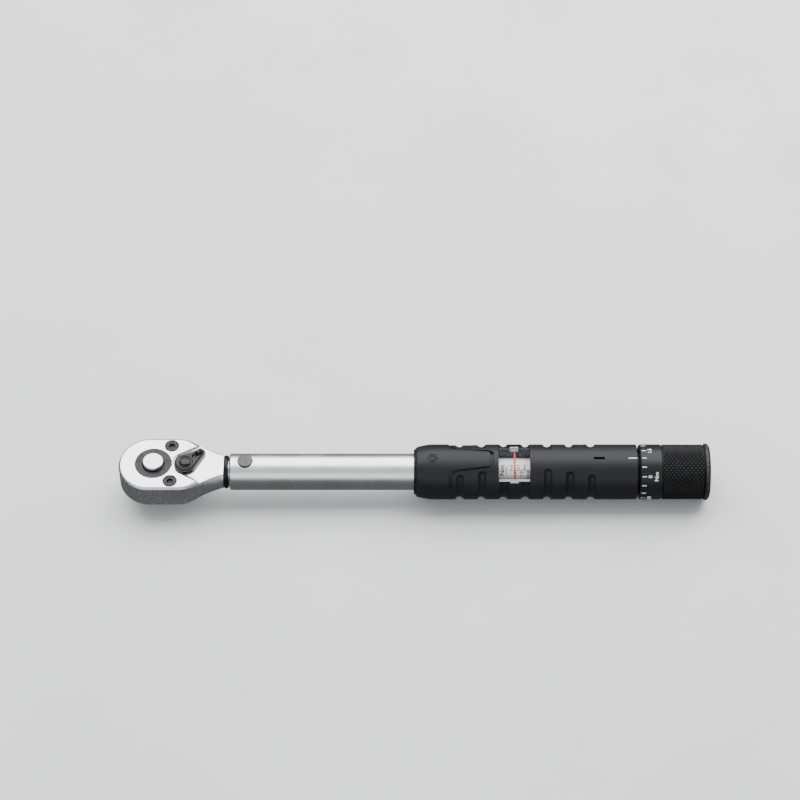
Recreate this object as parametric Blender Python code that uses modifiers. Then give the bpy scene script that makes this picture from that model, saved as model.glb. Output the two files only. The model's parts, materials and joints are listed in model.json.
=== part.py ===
"""A 1/4-inch-drive click torque wrench, 2 to 14 N m, as separate named pieces.

The wrench lies along +X with its square drive pointing down. Everything is modelled in the
wrench's own frame, whose X axis is the tube's centre line and whose origin is where the drive's
axis crosses it. An empty carries that frame to the row's origin, which is the middle of the square
drive's end face. Lengths are in metres.
"""

import math

import bmesh
import bpy
from mathutils import Vector

MM = 0.001

# Overall layout along the tube, from the drive's axis
AXIS_HEIGHT = 12.7 * MM  # of the tube's centre line above the end of the square drive
NECK_END = 26.8 * MM
TUBE_FRONT = 29.0 * MM
PIN_X = 35.15 * MM
ARM_END = 59.6 * MM
HANDLE_FRONT = 100.2 * MM
HANDLE_REAR = 184.8 * MM
KNOB_FRONT = 185.7 * MM
KNURL_FRONT = 194.3 * MM
FLANGE_FRONT = 210.6 * MM
KNOB_REAR = 212.5 * MM

# Round sections
TUBE_R = 7.0 * MM
TUBE_BORE_R = 5.8 * MM
HANDLE_R = 10.55 * MM
HANDLE_BORE_R = 7.2 * MM
KNOB_R = 10.55 * MM
FLANGE_R = 10.85 * MM
PIN_R = 2.95 * MM

# Head
HEAD_TOP = 5.4 * MM
HEAD_BOTTOM = -5.2 * MM
HEAD_R = 12.35 * MM  # of its round end
HEAD_ROUND_X = -0.95 * MM  # where that round end is centred
HEAD_HALF_WIDTH = 12.2 * MM
NECK_R = 6.3 * MM
RECESS_FLOOR = 4.3 * MM  # the lowered deck that the lever sweeps over
SCREW_AT = (6.74 * MM, 8.4 * MM)
SQUARE = 6.35 * MM  # 1/4 inch across flats
LEVER_X = 12.2 * MM
LEVER_ANGLE = math.radians(42)
PLATE_TOP = -4.1 * MM
CAVITY_TOP = 3.0 * MM
GEAR_BORE_R = 8.15 * MM

# Ratchet
TEETH = 36
GEAR_TIP_R = 7.8 * MM
GEAR_ROOT_R = 7.15 * MM
PAWL_SWING = math.radians(5)  # each way from neutral
PAWL_TEETH_AT = (math.radians(25), math.radians(35))
BALL_R = 1.25 * MM
BALL_Z = -9.0 * MM

# Handle features, as angles about the tube from straight up towards -Y
HANDLE_CLOCK = math.radians(7.7)
WINDOW_CLOCK = math.radians(16.7)
WINDOW_HALF_ANGLE = math.radians(41.3)
WINDOW_FRONT = 132.0 * MM
WINDOW_REAR = 143.7 * MM
TAB_WIDTH = 3.1 * MM
TAB_ANGLE = math.radians(4)
GROOVE_COUNT = 7
GROOVE_FIRST_X = 117.1 * MM
GROOVE_PITCH = 8.37 * MM
GROOVE_WIDTH = 2.7 * MM
GROOVE_DEPTH = 0.8 * MM
# how far each groove's round end lies from the handle's top, front to rear
GROOVE_ENDS = tuple(math.radians(a) for a in (43, 36, 53, 52, 31, 37, 43))

# Adjuster
NUT_FRONT = 116.0 * MM
SLEEVE_FRONT = 128.0 * MM
SLEEVE_REAR = 153.0 * MM
SLEEVE_R = 5.5 * MM
COLLAR_FRONT = 162.6 * MM
BUSHING_FRONT = 167.5 * MM

STEPS = 36  # round the large turned pieces
MIDDLE_STEPS = 28
SMALL_STEPS = 20
BIG = 40 * MM  # past anything that a cutter has to clear

FINISHES = {  # base colour, metallic, roughness
    "satin_chrome": ((0.80, 0.80, 0.81), 1.0, 0.28),
    "black_steel": ((0.05, 0.05, 0.05), 0.9, 0.4),
    "bare_steel": ((0.45, 0.45, 0.46), 1.0, 0.35),
    "black_plastic": ((0.03, 0.03, 0.035), 0.0, 0.45),
    "black_anodised": ((0.02, 0.02, 0.022), 0.7, 0.4),
    "black_rubber": ((0.02, 0.02, 0.02), 0.0, 0.6),
    "white_scale": ((0.9, 0.9, 0.88), 0.0, 0.5),
    "clear_acrylic": ((0.9, 0.95, 0.95), 0.0, 0.05),
    "brass": ((0.75, 0.58, 0.28), 1.0, 0.35),
}


# ---------------------------------------------------------------- scene helpers


def clear_scene():
    for obj in list(bpy.data.objects):
        bpy.data.objects.remove(obj, do_unlink=True)


def new_collection(name):
    collection = bpy.data.collections.new(name)
    bpy.context.scene.collection.children.link(collection)
    return collection


def material(part_name, finish):
    colour, metallic, roughness = FINISHES[finish]
    made = bpy.data.materials.new(f"{part_name}_{finish}")
    made.use_nodes = True
    shader = made.node_tree.nodes["Principled BSDF"]
    shader.inputs["Base Color"].default_value = (*colour, 1)
    shader.inputs["Metallic"].default_value = metallic
    shader.inputs["Roughness"].default_value = roughness
    return made


def place(obj, at=(0, 0, 0), turn=(0, 0, 0)):
    obj.parent = WRENCH
    obj.location = at
    obj.rotation_euler = turn
    return obj


def as_part(obj, finish):
    PARTS.objects.link(obj)
    obj.data.materials.append(material(obj.name, finish))
    return obj


def as_cutter(obj):
    CUTTERS.objects.link(obj)
    obj.hide_render = True
    obj.display_type = "WIRE"
    return obj


def boolean(obj, other, operation="DIFFERENCE"):
    modifier = obj.modifiers.new(f"{operation.lower()}_{other.name}", "BOOLEAN")
    modifier.operation = operation
    modifier.solver = "EXACT"
    modifier.object = other


def cut(obj, *cutters):
    for cutter in cutters:
        boolean(obj, as_cutter(cutter))


def join(obj, *others):
    for other in others:
        boolean(obj, as_cutter(other), "UNION")


# ---------------------------------------------------------------- shapes


def cylinder(name, radius, length, at, axis="Z", steps=SMALL_STEPS):
    """A plain cylinder centred on a point, with its axis along X, Y or Z."""
    mesh = bpy.data.meshes.new(name)
    made = bmesh.new()
    bmesh.ops.create_cone(made, cap_ends=True, segments=steps, radius1=radius, radius2=radius, depth=length)
    made.to_mesh(mesh)
    made.free()
    mesh.shade_smooth()
    mesh.set_sharp_from_angle(angle=math.radians(40))
    turn = {"X": (0, math.pi / 2, 0), "Y": (math.pi / 2, 0, 0), "Z": (0, 0, 0)}[axis]
    return place(bpy.data.objects.new(name, mesh), at, turn)


def box(name, size, at, turn=(0, 0, 0)):
    mesh = bpy.data.meshes.new(name)
    made = bmesh.new()
    bmesh.ops.create_cube(made, size=1)
    bmesh.ops.scale(made, vec=Vector(size), verts=made.verts)
    made.to_mesh(mesh)
    made.free()
    return place(bpy.data.objects.new(name, mesh), at, turn)


def ball(name, radius, at, segments=16):
    mesh = bpy.data.meshes.new(name)
    made = bmesh.new()
    bmesh.ops.create_uvsphere(made, u_segments=segments, v_segments=segments // 2, radius=radius)
    made.to_mesh(mesh)
    made.free()
    mesh.shade_smooth()
    return place(bpy.data.objects.new(name, mesh), at)


def turned(name, profile, at=(0, 0, 0), axis="X", steps=STEPS, closed=False):
    """A turned piece. The profile is (radius, height) pairs, and runs down the outer side.

    An open profile starts and ends on the axis. A closed one goes back up the bore.
    """
    mesh = bpy.data.meshes.new(name)
    count = len(profile)
    edges = [(i, i + 1) for i in range(count - 1)]
    if closed:
        edges.append((count - 1, 0))
    mesh.from_pydata([(radius, 0, height) for radius, height in profile], edges, [])
    obj = bpy.data.objects.new(name, mesh)
    screw = obj.modifiers.new("turn", "SCREW")
    screw.axis = "Z"
    screw.steps = screw.render_steps = steps
    screw.use_merge_vertices = True
    screw.merge_threshold = 1e-6
    screw.use_smooth_shade = True
    return place(obj, at, (0, math.pi / 2, 0) if axis == "X" else (0, 0, 0))


def ring(name, inner, outer, low, high, at=(0, 0, 0), axis="X", steps=STEPS, chamfer=0.0):
    profile = [
        (outer - chamfer, high),
        (outer, high - chamfer),
        (outer, low + chamfer),
        (outer - chamfer, low),
        (inner, low),
        (inner, high),
    ]
    if not chamfer:
        profile = [(outer, high), (outer, low), (inner, low), (inner, high)]
    return turned(name, profile, at, axis, steps, closed=True)


def arc(centre, radius, start, end, count):
    """Points along an arc, angles in radians, both ends included."""
    angles = [start + (end - start) * i / (count - 1) for i in range(count)]
    return [(centre[0] + radius * math.cos(a), centre[1] + radius * math.sin(a)) for a in angles]


def polar(radius, angle):
    return (radius * math.cos(angle), radius * math.sin(angle))


def plate(name, outline, low, high, holes=(), at=(0, 0, 0), turn=(0, 0, 0)):
    """A flat outline in XY, extruded from low to high, with its holes, as a welded mesh."""
    curve = bpy.data.curves.new(name, "CURVE")
    curve.dimensions = "2D"
    curve.fill_mode = "BOTH"
    curve.extrude = (high - low) / 2
    for points in (outline, *holes):
        spline = curve.splines.new("POLY")
        spline.points.add(len(points) - 1)
        for point, (x, y) in zip(spline.points, points):
            point.co = (x, y, 0, 1)
        spline.use_cyclic_u = True
    mesh = mesh_of_curve(name, curve)
    for vertex in mesh.vertices:
        vertex.co.z += (low + high) / 2
    return place(bpy.data.objects.new(name, mesh), at, turn)


def mesh_of_curve(name, curve):
    """The curve's evaluated mesh with its caps welded on. The curve is removed."""
    source = bpy.data.objects.new(name + "_curve", curve)
    bpy.context.scene.collection.objects.link(source)
    graph = bpy.context.evaluated_depsgraph_get()
    mesh = bpy.data.meshes.new_from_object(source.evaluated_get(graph))
    mesh.name = name
    welded = bmesh.new()
    welded.from_mesh(mesh)
    bmesh.ops.remove_doubles(welded, verts=welded.verts, dist=1e-7)
    bmesh.ops.recalc_face_normals(welded, faces=welded.faces)
    welded.to_mesh(mesh)
    welded.free()
    bpy.data.objects.remove(source, do_unlink=True)
    return mesh


def rod_along(name, points, radius, resolution=1, cyclic=False):
    """A round wire along a list of points."""
    curve = bpy.data.curves.new(name, "CURVE")
    curve.dimensions = "3D"
    curve.bevel_depth = radius
    curve.bevel_resolution = resolution
    curve.use_fill_caps = not cyclic
    spline = curve.splines.new("POLY")
    spline.points.add(len(points) - 1)
    for point, co in zip(spline.points, points):
        point.co = (*co, 1)
    spline.use_cyclic_u = cyclic
    return place(bpy.data.objects.new(name, mesh_of_curve(name, curve)))


def coil(name, axis, start, length, radius, wire, turns, per_turn=12):
    """A compression spring with closed ends: the pitch eases in over its first and last turn."""

    def travel(turn):
        ease = 1.0
        if turn < ease:
            return 0.5 * turn * turn / ease
        if turn > turns - ease:
            return turns - ease - 0.5 * (turns - turn) ** 2 / ease
        return turn - 0.5 * ease

    count = int(turns * per_turn)
    points = []
    for i in range(count + 1):
        turn = turns * i / count
        along = wire + (length - 2 * wire) * travel(turn) / travel(turns)
        a = 2 * math.pi * turn
        across = (radius * math.cos(a), radius * math.sin(a))
        offset = (along, *across) if axis == "X" else (*across, along)
        points.append([s + o for s, o in zip(start, offset)])
    return rod_along(name, points, wire)


def sector(name, inner, outer, front, rear, middle, half_angle, count=24):
    """A block of a cylinder about X: between two radii, two stations, and two angles from straight up."""
    outside = arc((0, 0), outer, middle - half_angle, middle + half_angle, count)
    inside = arc((0, 0), inner, middle + half_angle, middle - half_angle, count)
    # the outline's first axis becomes +Z and its second -Y, so an angle here turns from up towards -Y
    made = plate(name, outside + inside, front, rear)
    for vertex in made.data.vertices:
        up, towards_viewer, along = vertex.co
        vertex.co = (along, -towards_viewer, up)
    fix_normals(made.data)
    return made


def fix_normals(mesh):
    fixed = bmesh.new()
    fixed.from_mesh(mesh)
    bmesh.ops.recalc_face_normals(fixed, faces=fixed.faces)
    fixed.to_mesh(mesh)
    fixed.free()


# ---------------------------------------------------------------- head


def head_outline():
    """The head seen from above: a round end, parallel sides, a shoulder, and a taper to the neck."""
    shoulder_start = 10.2 * MM
    shoulder_r = 8.0 * MM
    taper = math.radians(24)
    upper = arc((HEAD_ROUND_X, 0), HEAD_R, math.pi, math.pi / 2 + 0.16, 14)
    upper += arc(
        (shoulder_start, HEAD_HALF_WIDTH - shoulder_r), shoulder_r, math.pi / 2, math.pi / 2 - taper, 6
    )
    upper += [(19.1 * MM, 9.0 * MM), (22.5 * MM, 7.8 * MM), (25.0 * MM, 6.95 * MM)]
    upper += [(26.1 * MM, 6.2 * MM), (NECK_END, 6.2 * MM)]
    return upper + [(x, -y) for x, y in reversed(upper[1:])]


def neck_envelope():
    """The turned form that the forging is machined to: wide over the ratchet, round at the neck."""
    return turned(
        "cut_neck_envelope",
        [
            (0, NECK_END),
            (NECK_R - 0.5 * MM, NECK_END),
            (NECK_R, NECK_END - 0.5 * MM),
            (NECK_R, 26.0 * MM),
            (7.2 * MM, 24.9 * MM),
            (8.1 * MM, 22.5 * MM),
            (9.9 * MM, 19.1 * MM),
            (14.0 * MM, 13.0 * MM),
            (18.0 * MM, 6.0 * MM),
            (18.0 * MM, -BIG),
            (0, -BIG),
        ],
    )


def head_arm():
    """The tail that reaches back inside the tube to the click block, with its eye for the pivot pin."""
    half_width = 3.5 * MM
    half_height = 2.8 * MM
    front = 24.0 * MM
    arm = box(
        "cut_arm_bar",
        (ARM_END - front, 2 * half_width, 2 * half_height),
        ((ARM_END + front) / 2, 0, 0),
    )
    neck = cylinder("cut_arm_neck", 4.6 * MM, 6.4 * MM, (27.6 * MM, 0, 0), "X", MIDDLE_STEPS)
    eye = cylinder("cut_arm_eye", 4.7 * MM, 6.0 * MM, (PIN_X, 0, 0), "Z", MIDDLE_STEPS)
    return arm, neck, eye


def lever_recess():
    """Cutter for the lowered deck: round behind the lever's pivot, and opening out to the neck."""
    radius = 5.3 * MM
    slope = math.radians(29)
    tangent = math.pi / 2 + slope
    end_x = 34 * MM
    left = arc((LEVER_X, 0), radius, tangent, 2 * math.pi - tangent, 15)
    reach = end_x - left[0][0]
    far = left[0][1] + reach * math.tan(slope)
    outline = [(end_x, far), *left, (end_x, -far)]
    return plate("cut_lever_recess", outline, RECESS_FLOOR, HEAD_TOP + 3 * MM)


def pawl_chamber():
    """Cutter for the pocket that the pawl rocks in, beside the gear's bore."""
    spread = math.radians(41)
    side = [(4.0 * MM, 3.4 * MM), polar(10.65 * MM, spread), (10.9 * MM, 5.4 * MM), (14.0 * MM, 3.9 * MM)]
    outline = side + [(x, -y) for x, y in reversed(side)]
    return plate("cut_pawl_chamber", outline, -6.0 * MM, CAVITY_TOP)


def plate_outline(grow=0.0):
    """The bottom cover: round under the gear, with a tongue under the pawl."""
    radius = 10.9 * MM + grow
    tongue = 5.6 * MM + grow
    end_x = 17.2 * MM + grow
    corner = 1.6 * MM
    start = math.asin(tongue / radius)
    body = arc((0, 0), radius, start, 2 * math.pi - start, 25)
    lower = arc((end_x - corner, -tongue + corner), corner, -math.pi / 2, 0, 4)
    upper = arc((end_x - corner, tongue - corner), corner, 0, math.pi / 2, 4)
    return body + lower + upper


def head_body():
    head = as_part(plate("head_body", head_outline(), HEAD_BOTTOM, HEAD_TOP), "satin_chrome")
    edge = head.modifiers.new("edge", "BEVEL")
    edge.width = 1.2 * MM
    edge.segments = 2
    edge.limit_method = "ANGLE"
    edge.angle_limit = math.radians(50)
    boolean(head, as_cutter(neck_envelope()), "INTERSECT")
    join(head, *head_arm())
    hub_chamber = (LEVER_X, 0, CAVITY_TOP - 4.5 * MM)
    cut(
        head,
        lever_recess(),
        cylinder("cut_gear_bore", GEAR_BORE_R, 8.6 * MM, (0, 0, -0.9 * MM), steps=STEPS),
        cylinder("cut_gear_top", 7.15 * MM, 5 * MM, (0, 0, HEAD_TOP), steps=STEPS),
        pawl_chamber(),
        cylinder("cut_hub_chamber", 4.3 * MM, 9 * MM, hub_chamber, steps=MIDDLE_STEPS),
        cylinder("cut_lever_stem", 3.2 * MM, 4 * MM, (LEVER_X, 0, RECESS_FLOOR), steps=MIDDLE_STEPS),
        plate("cut_plate_seat", plate_outline(0.15 * MM), HEAD_BOTTOM - 2 * MM, PLATE_TOP + 0.15 * MM),
        cylinder("cut_pin_eye", PIN_R + 0.15 * MM, 20 * MM, (PIN_X, 0, 0), steps=MIDDLE_STEPS),
    )
    for number, side in enumerate((1, -1), 1):
        at = (SCREW_AT[0], side * SCREW_AT[1])
        seat = (*at, HEAD_TOP + 0.6 * MM)
        cut(
            head,
            cylinder(f"cut_screw_head_{number}", 2.75 * MM, 4 * MM, seat, steps=MIDDLE_STEPS),
            cylinder(f"cut_screw_hole_{number}", 1.45 * MM, 20 * MM, (*at, 0)),
        )
    return head


def cover_plate():
    hole = arc((0, 0), 6.2 * MM, 0, 2 * math.pi * (1 - 1 / STEPS), STEPS)
    made = as_part(plate("cover_plate", plate_outline(), HEAD_BOTTOM, PLATE_TOP, [hole]), "black_steel")
    for number, side in enumerate((1, -1), 1):
        at = (SCREW_AT[0], side * SCREW_AT[1], HEAD_BOTTOM)
        cut(made, cylinder(f"cut_plate_screw_{number}", 1.4 * MM, 6 * MM, at))


def star(radius, lobes=6, inner=0.72, per_lobe=4):
    """A six-lobed driver recess, as a smooth outline."""
    points = []
    for i in range(lobes * per_lobe):
        a = 2 * math.pi * i / (lobes * per_lobe)
        wave = 0.5 + 0.5 * math.cos(lobes * a)
        points.append(polar(radius * (inner + (1 - inner) * wave), a))
    return points


def head_screws():
    """Two lobed screws that go down through the head and thread into the cover plate."""
    head_r = 2.6 * MM
    shank_r = 1.2 * MM
    top = HEAD_TOP - 0.1 * MM
    under = 4.15 * MM
    for number, side in enumerate((1, -1), 1):
        profile = [
            (0, top),
            (head_r - 0.3 * MM, top),
            (head_r, top - 0.3 * MM),
            (head_r, under),
            (shank_r, under),
            (shank_r, HEAD_BOTTOM + 0.2 * MM),
            (0, HEAD_BOTTOM + 0.2 * MM),
        ]
        at = (SCREW_AT[0], side * SCREW_AT[1], 0)
        screw = as_part(turned(f"head_screw_{number}", profile, at, "Z", SMALL_STEPS), "black_steel")
        cut(screw, plate(f"cut_screw_star_{number}", star(1.3 * MM), top - 0.9 * MM, top + MM, at=at))


def neck_seal():
    """The rubber ring on the arm, in the gap between the head and the tube."""
    inner = 4.9 * MM
    outer = 6.35 * MM
    front = NECK_END + 0.1 * MM
    rear = TUBE_FRONT - 0.4 * MM
    middle = (front + rear) / 2
    half = (rear - front) / 2
    crown = [(outer - half + half * math.cos(a), middle + half * math.sin(a)) for a in quarter_turns(7)]
    as_part(turned("neck_seal", [*crown, (inner, front), (inner, rear)], closed=True), "black_rubber")


def quarter_turns(count):
    """Angles from +90 degrees down to -90, for a rounded outer edge."""
    return [math.pi / 2 - math.pi * i / (count - 1) for i in range(count)]


# ---------------------------------------------------------------- ratchet


def gear_outline():
    """36 straight-flanked teeth, one of them centred on +X."""
    pitch = 2 * math.pi / TEETH
    tip = 0.5 * 0.16 * MM / GEAR_TIP_R
    root = 0.5 * 0.16 * MM / GEAR_ROOT_R
    points = []
    for i in range(TEETH):
        middle = i * pitch
        points += [
            polar(GEAR_ROOT_R, middle - pitch / 2 + root),
            polar(GEAR_TIP_R, middle - tip),
            polar(GEAR_TIP_R, middle + tip),
            polar(GEAR_ROOT_R, middle + pitch / 2 - root),
        ]
    return points


def square_drive():
    """The 1/4-inch square, with its corners broken and its end chamfered."""
    top = -4.6 * MM
    half = SQUARE / 2
    corner = 0.6 * MM
    outline = []
    for turn in range(4):
        a = turn * math.pi / 2
        for x, y in ((half, -half + corner), (half, half - corner)):
            outline.append((x * math.cos(a) - y * math.sin(a), x * math.sin(a) + y * math.cos(a)))
    prism = plate("cut_square", outline, -AXIS_HEIGHT, top)
    bevel = prism.modifiers.new("end", "BEVEL")
    bevel.width = 0.35 * MM
    bevel.segments = 1
    bevel.limit_method = "ANGLE"
    bevel.angle_limit = math.radians(60)
    return prism


def ratchet_gear():
    """The ratchet wheel and the square drive in one piece, bored for the release button and the ball."""
    gear = as_part(plate("ratchet_gear", gear_outline(), -3.2 * MM, 3.2 * MM), "black_steel")
    join(
        gear,
        cylinder("cut_gear_boss", 6.95 * MM, 4 * MM, (0, 0, 2.4 * MM), steps=STEPS),
        cylinder("cut_gear_foot", 6.0 * MM, 4.35 * MM, (0, 0, -3.175 * MM), steps=STEPS),
        square_drive(),
    )
    cut(
        gear,
        cylinder("cut_button_well", 4.85 * MM, 8 * MM, (0, 0, 2.4 * MM), steps=MIDDLE_STEPS),
        cylinder("cut_rod_bore", 1.6 * MM, 12 * MM, (0, 0, -5.4 * MM)),
        cylinder("cut_ball_hole", BALL_R + 0.12 * MM, 4 * MM, (0, -2.4 * MM, BALL_Z), "Y"),
    )


def release_button():
    """The quick-release button with its rod. A ramp on the rod lets the ball sink in."""
    profile = [
        (0, 7.05 * MM),
        (2.6 * MM, 7.0 * MM),
        (3.5 * MM, 6.85 * MM),
        (4.0 * MM, 6.35 * MM),
        (4.0 * MM, 4.25 * MM),
        (4.6 * MM, 4.25 * MM),
        (4.6 * MM, 3.3 * MM),
        (2.4 * MM, 3.3 * MM),
        (2.4 * MM, 2.0 * MM),
        (1.4 * MM, 1.6 * MM),
        (1.4 * MM, -9.6 * MM),
        (0, -9.6 * MM),
    ]
    button = as_part(turned("release_button", profile, axis="Z", steps=MIDDLE_STEPS), "satin_chrome")
    low, deep, back = BALL_Z - 1.9 * MM, BALL_Z + 2.02 * MM, BALL_Z + 3.2 * MM
    side = [(1.6 * MM, low), (0.25 * MM, deep), (0.25 * MM, back), (3 * MM, back), (3 * MM, low)]
    # drawn as (distance towards -Y, height), then stood up
    ramp = plate("cut_ball_ramp", side, -2 * MM, 2 * MM)
    for vertex in ramp.data.vertices:
        outwards, height, across = vertex.co
        vertex.co = (across, -outwards, height)
    fix_normals(ramp.data)
    cut(button, ramp)


def small_drive_parts():
    as_part(
        ring("button_retainer", 4.15 * MM, 6.95 * MM, 4.5 * MM, HEAD_TOP, axis="Z"),
        "black_steel",
    )
    spring_start = (0, 0, -1.5 * MM)
    spring = coil("button_spring", "Z", spring_start, 4.6 * MM, 3.5 * MM, 0.35 * MM, 3.5, 10)
    as_part(spring, "bare_steel")
    proud = 0.5 * MM
    at = (0, -(SQUARE / 2 + proud - BALL_R), BALL_Z)
    as_part(ball("detent_ball", BALL_R, at), "bare_steel")


def rotated(points, angle, about):
    c, s = math.cos(angle), math.sin(angle)
    from_centre = [(x - about[0], y - about[1]) for x, y in points]
    return [(about[0] + x * c - y * s, about[1] + x * s + y * c) for x, y in from_centre]


def pawl_arm():
    """One arm's outline, engaged with the gear on the +Y side, from its inner to its outer end."""
    base_r = GEAR_TIP_R + 0.2 * MM
    tip_r = GEAR_ROOT_R + 0.2 * MM
    base_half = 0.57 * MM / base_r
    tip_half = 0.05 * MM / tip_r
    first, last = PAWL_TEETH_AT
    margin = math.radians(5.5)
    arm = [polar(base_r, first - margin)]
    for middle in PAWL_TEETH_AT:
        arm += [
            polar(base_r, middle - base_half),
            polar(tip_r, middle - tip_half),
            polar(tip_r, middle + tip_half),
            polar(base_r, middle + base_half),
        ]
    arm += [polar(base_r, last + margin * 0.8), polar(8.7 * MM, last + margin * 0.8), polar(9.1 * MM, last)]
    return arm


def pawl():
    """The two-ended pawl. It rocks on the lever's stem, and is drawn in neutral, then turned into mesh."""
    pivot = (LEVER_X, 0)
    upper = rotated(pawl_arm(), -PAWL_SWING, pivot)
    upper = [(x - LEVER_X, y) for x, y in upper]
    back = arc((0, 0), 2.9 * MM, math.radians(100), math.radians(-100), 11)
    lower = [(x, -y) for x, y in reversed(upper)]
    waist = [(-3.2 * MM, 0)]
    bore = arc((0, 0), 1.7 * MM, 0, 2 * math.pi * 23 / 24, 24)
    outline = upper + back + lower + waist
    made = plate("pawl", outline, -3.6 * MM, 1.3 * MM, [bore], at=(*pivot, 0), turn=(0, 0, PAWL_SWING))
    as_part(made, "bare_steel")


def teardrop(big, small, distance):
    """The lever from above: two circles and their common tangents."""
    lean = math.acos((big - small) / distance)
    return arc((0, 0), big, lean, 2 * math.pi - lean, 17) + arc((distance, 0), small, -lean, lean, 9)


def reverse_lever():
    """The direction lever: a teardrop with a domed hub, a thumb tab, and a stem that carries the pawl."""
    low, high = 4.6 * MM, 6.2 * MM
    at = (LEVER_X, 0, 0)
    turn = (0, 0, LEVER_ANGLE)
    outline = teardrop(4.3 * MM, 1.55 * MM, 8.0 * MM)
    lever = as_part(plate("reverse_lever", outline, low, high, at=at, turn=turn), "black_steel")
    tab = plate("cut_thumb_tab", teardrop(1.25 * MM, 0.9 * MM, 2.4 * MM), high - 0.4 * MM, 7.6 * MM)
    c, s = math.cos(LEVER_ANGLE), math.sin(LEVER_ANGLE)
    place(tab, (LEVER_X + 5.9 * MM * c, 5.9 * MM * s, 0), turn)
    stem = [
        (0, 7.0 * MM),
        (1.1 * MM, 6.9 * MM),
        (1.8 * MM, 6.5 * MM),
        (2.0 * MM, 5.6 * MM),
        (3.0 * MM, 5.4 * MM),
        (3.0 * MM, 2.9 * MM),
        (2.7 * MM, 2.9 * MM),
        (2.7 * MM, 2.25 * MM),
        (3.0 * MM, 2.25 * MM),
        (3.0 * MM, 1.7 * MM),
        (1.5 * MM, 1.7 * MM),
        (1.5 * MM, -3.8 * MM),
        (0, -3.8 * MM),
    ]
    join(lever, tab, turned("cut_stem", stem, at, "Z", SMALL_STEPS))
    hole = (LEVER_X - 2.15 * MM * c, -2.15 * MM * s)
    cut(lever, cylinder("cut_detent_hole", 0.7 * MM, 3.0 * MM, (*hole, 2.6 * MM), steps=16))
    as_part(ball("lever_detent_ball", 0.6 * MM, (*hole, 2.02 * MM), 12), "bare_steel")
    spring_start = (*hole, 2.64 * MM)
    spring = coil("lever_detent_spring", "Z", spring_start, 1.36 * MM, 0.42 * MM, 0.1 * MM, 3, 8)
    as_part(spring, "bare_steel")


def lever_snap_ring():
    """A C-shaped clip in the stem's groove, under the head's top wall."""
    opening = math.radians(35)
    outside = arc((0, 0), 3.9 * MM, opening, 2 * math.pi - opening, 25)
    inside = arc((0, 0), 2.85 * MM, 2 * math.pi - opening, opening, 25)
    clip = plate("lever_snap_ring", outside + inside, 2.35 * MM, 2.8 * MM, at=(LEVER_X, 0, 0))
    as_part(clip, "bare_steel")


# ---------------------------------------------------------------- tube and click mechanism


def tube():
    """The main tube: pinned to the head in front, and slotted under the scale window."""
    chamfer = 0.6 * MM
    rear = 183.0 * MM
    profile = [
        (TUBE_R, rear),
        (TUBE_R, TUBE_FRONT + chamfer),
        (TUBE_R - chamfer, TUBE_FRONT),
        (TUBE_BORE_R, TUBE_FRONT),
        (TUBE_BORE_R, rear),
    ]
    made = as_part(turned("tube", profile, closed=True), "satin_chrome")
    cut(
        made,
        cylinder("cut_tube_pin", PIN_R + 0.07 * MM, 20 * MM, (PIN_X, 0, 0), steps=MIDDLE_STEPS),
        sector(
            "cut_tube_window",
            4.0 * MM,
            8.5 * MM,
            WINDOW_FRONT - 1.2 * MM,
            WINDOW_REAR + 1.2 * MM,
            WINDOW_CLOCK,
            math.radians(64),
        ),
        box("cut_tube_keyway", (13.6 * MM, 2.3 * MM, 4 * MM), (122.9 * MM, 0, -TUBE_R)),
        cylinder("cut_tube_cross_pin", 1.05 * MM, 20 * MM, (176.5 * MM, 0, 0), "Y"),
        radial_box("cut_tube_key", 4.3 * MM, 1.25 * MM, 5.0 * MM, 8.0 * MM, 170.1 * MM, HANDLE_CLOCK),
    )


def radial_box(name, length, width, inner, outer, x, clock):
    """A block that stands out radially from the tube's axis at an angle from straight up towards -Y."""
    middle = (inner + outer) / 2
    at = (x, -middle * math.sin(clock), middle * math.cos(clock))
    return box(name, (length, width, outer - inner), at, (clock, 0, 0))


def pivot_pin():
    """The pin that the head swings on when the wrench clicks. Its flat ends stand just proud of the tube."""
    half = 7.3 * MM
    edge = 0.25 * MM
    profile = [
        (0, half),
        (PIN_R - edge, half),
        (PIN_R, half - edge),
        (PIN_R, -half + edge),
        (PIN_R - edge, -half),
        (0, -half),
    ]
    as_part(turned("pivot_pin", profile, (PIN_X, 0, 0), "Z", MIDDLE_STEPS), "bare_steel")


def click_mechanism():
    """The block that trips between the arm and the plunger, the plunger, and the main spring behind it."""
    block_front, block_rear = 60.25 * MM, 65.25 * MM
    half, corner = 2.4 * MM, 0.7 * MM
    length = block_rear - block_front
    outline = [
        (0, -half + corner),
        (0, half - corner),
        (-corner, half),
        (-length + corner, half),
        (-length, half - corner),
        (-length, -half + corner),
        (-length + corner, -half),
        (-corner, -half),
    ]
    block = plate("tilt_block", outline, -2.8 * MM, 2.8 * MM, at=(block_rear, 0, 0))
    as_part(block, "bare_steel")

    front, shoulder, tip = 65.55 * MM, 74.0 * MM, 84.0 * MM
    profile = [
        (0, tip),
        (2.3 * MM, tip),
        (2.9 * MM, tip - 0.6 * MM),
        (2.9 * MM, shoulder),
        (5.4 * MM, shoulder),
        (5.4 * MM, front + 0.4 * MM),
        (5.0 * MM, front),
        (0, front),
    ]
    as_part(turned("plunger", profile, steps=MIDDLE_STEPS), "bare_steel")

    spring_start = shoulder + 0.2 * MM
    spring_end = NUT_FRONT - 1.7 * MM
    length = spring_end - spring_start
    spring = coil("main_spring", "X", (spring_start, 0, 0), length, 4.4 * MM, 0.85 * MM, 11, 11)
    as_part(spring, "bare_steel")


# ---------------------------------------------------------------- adjuster


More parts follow.
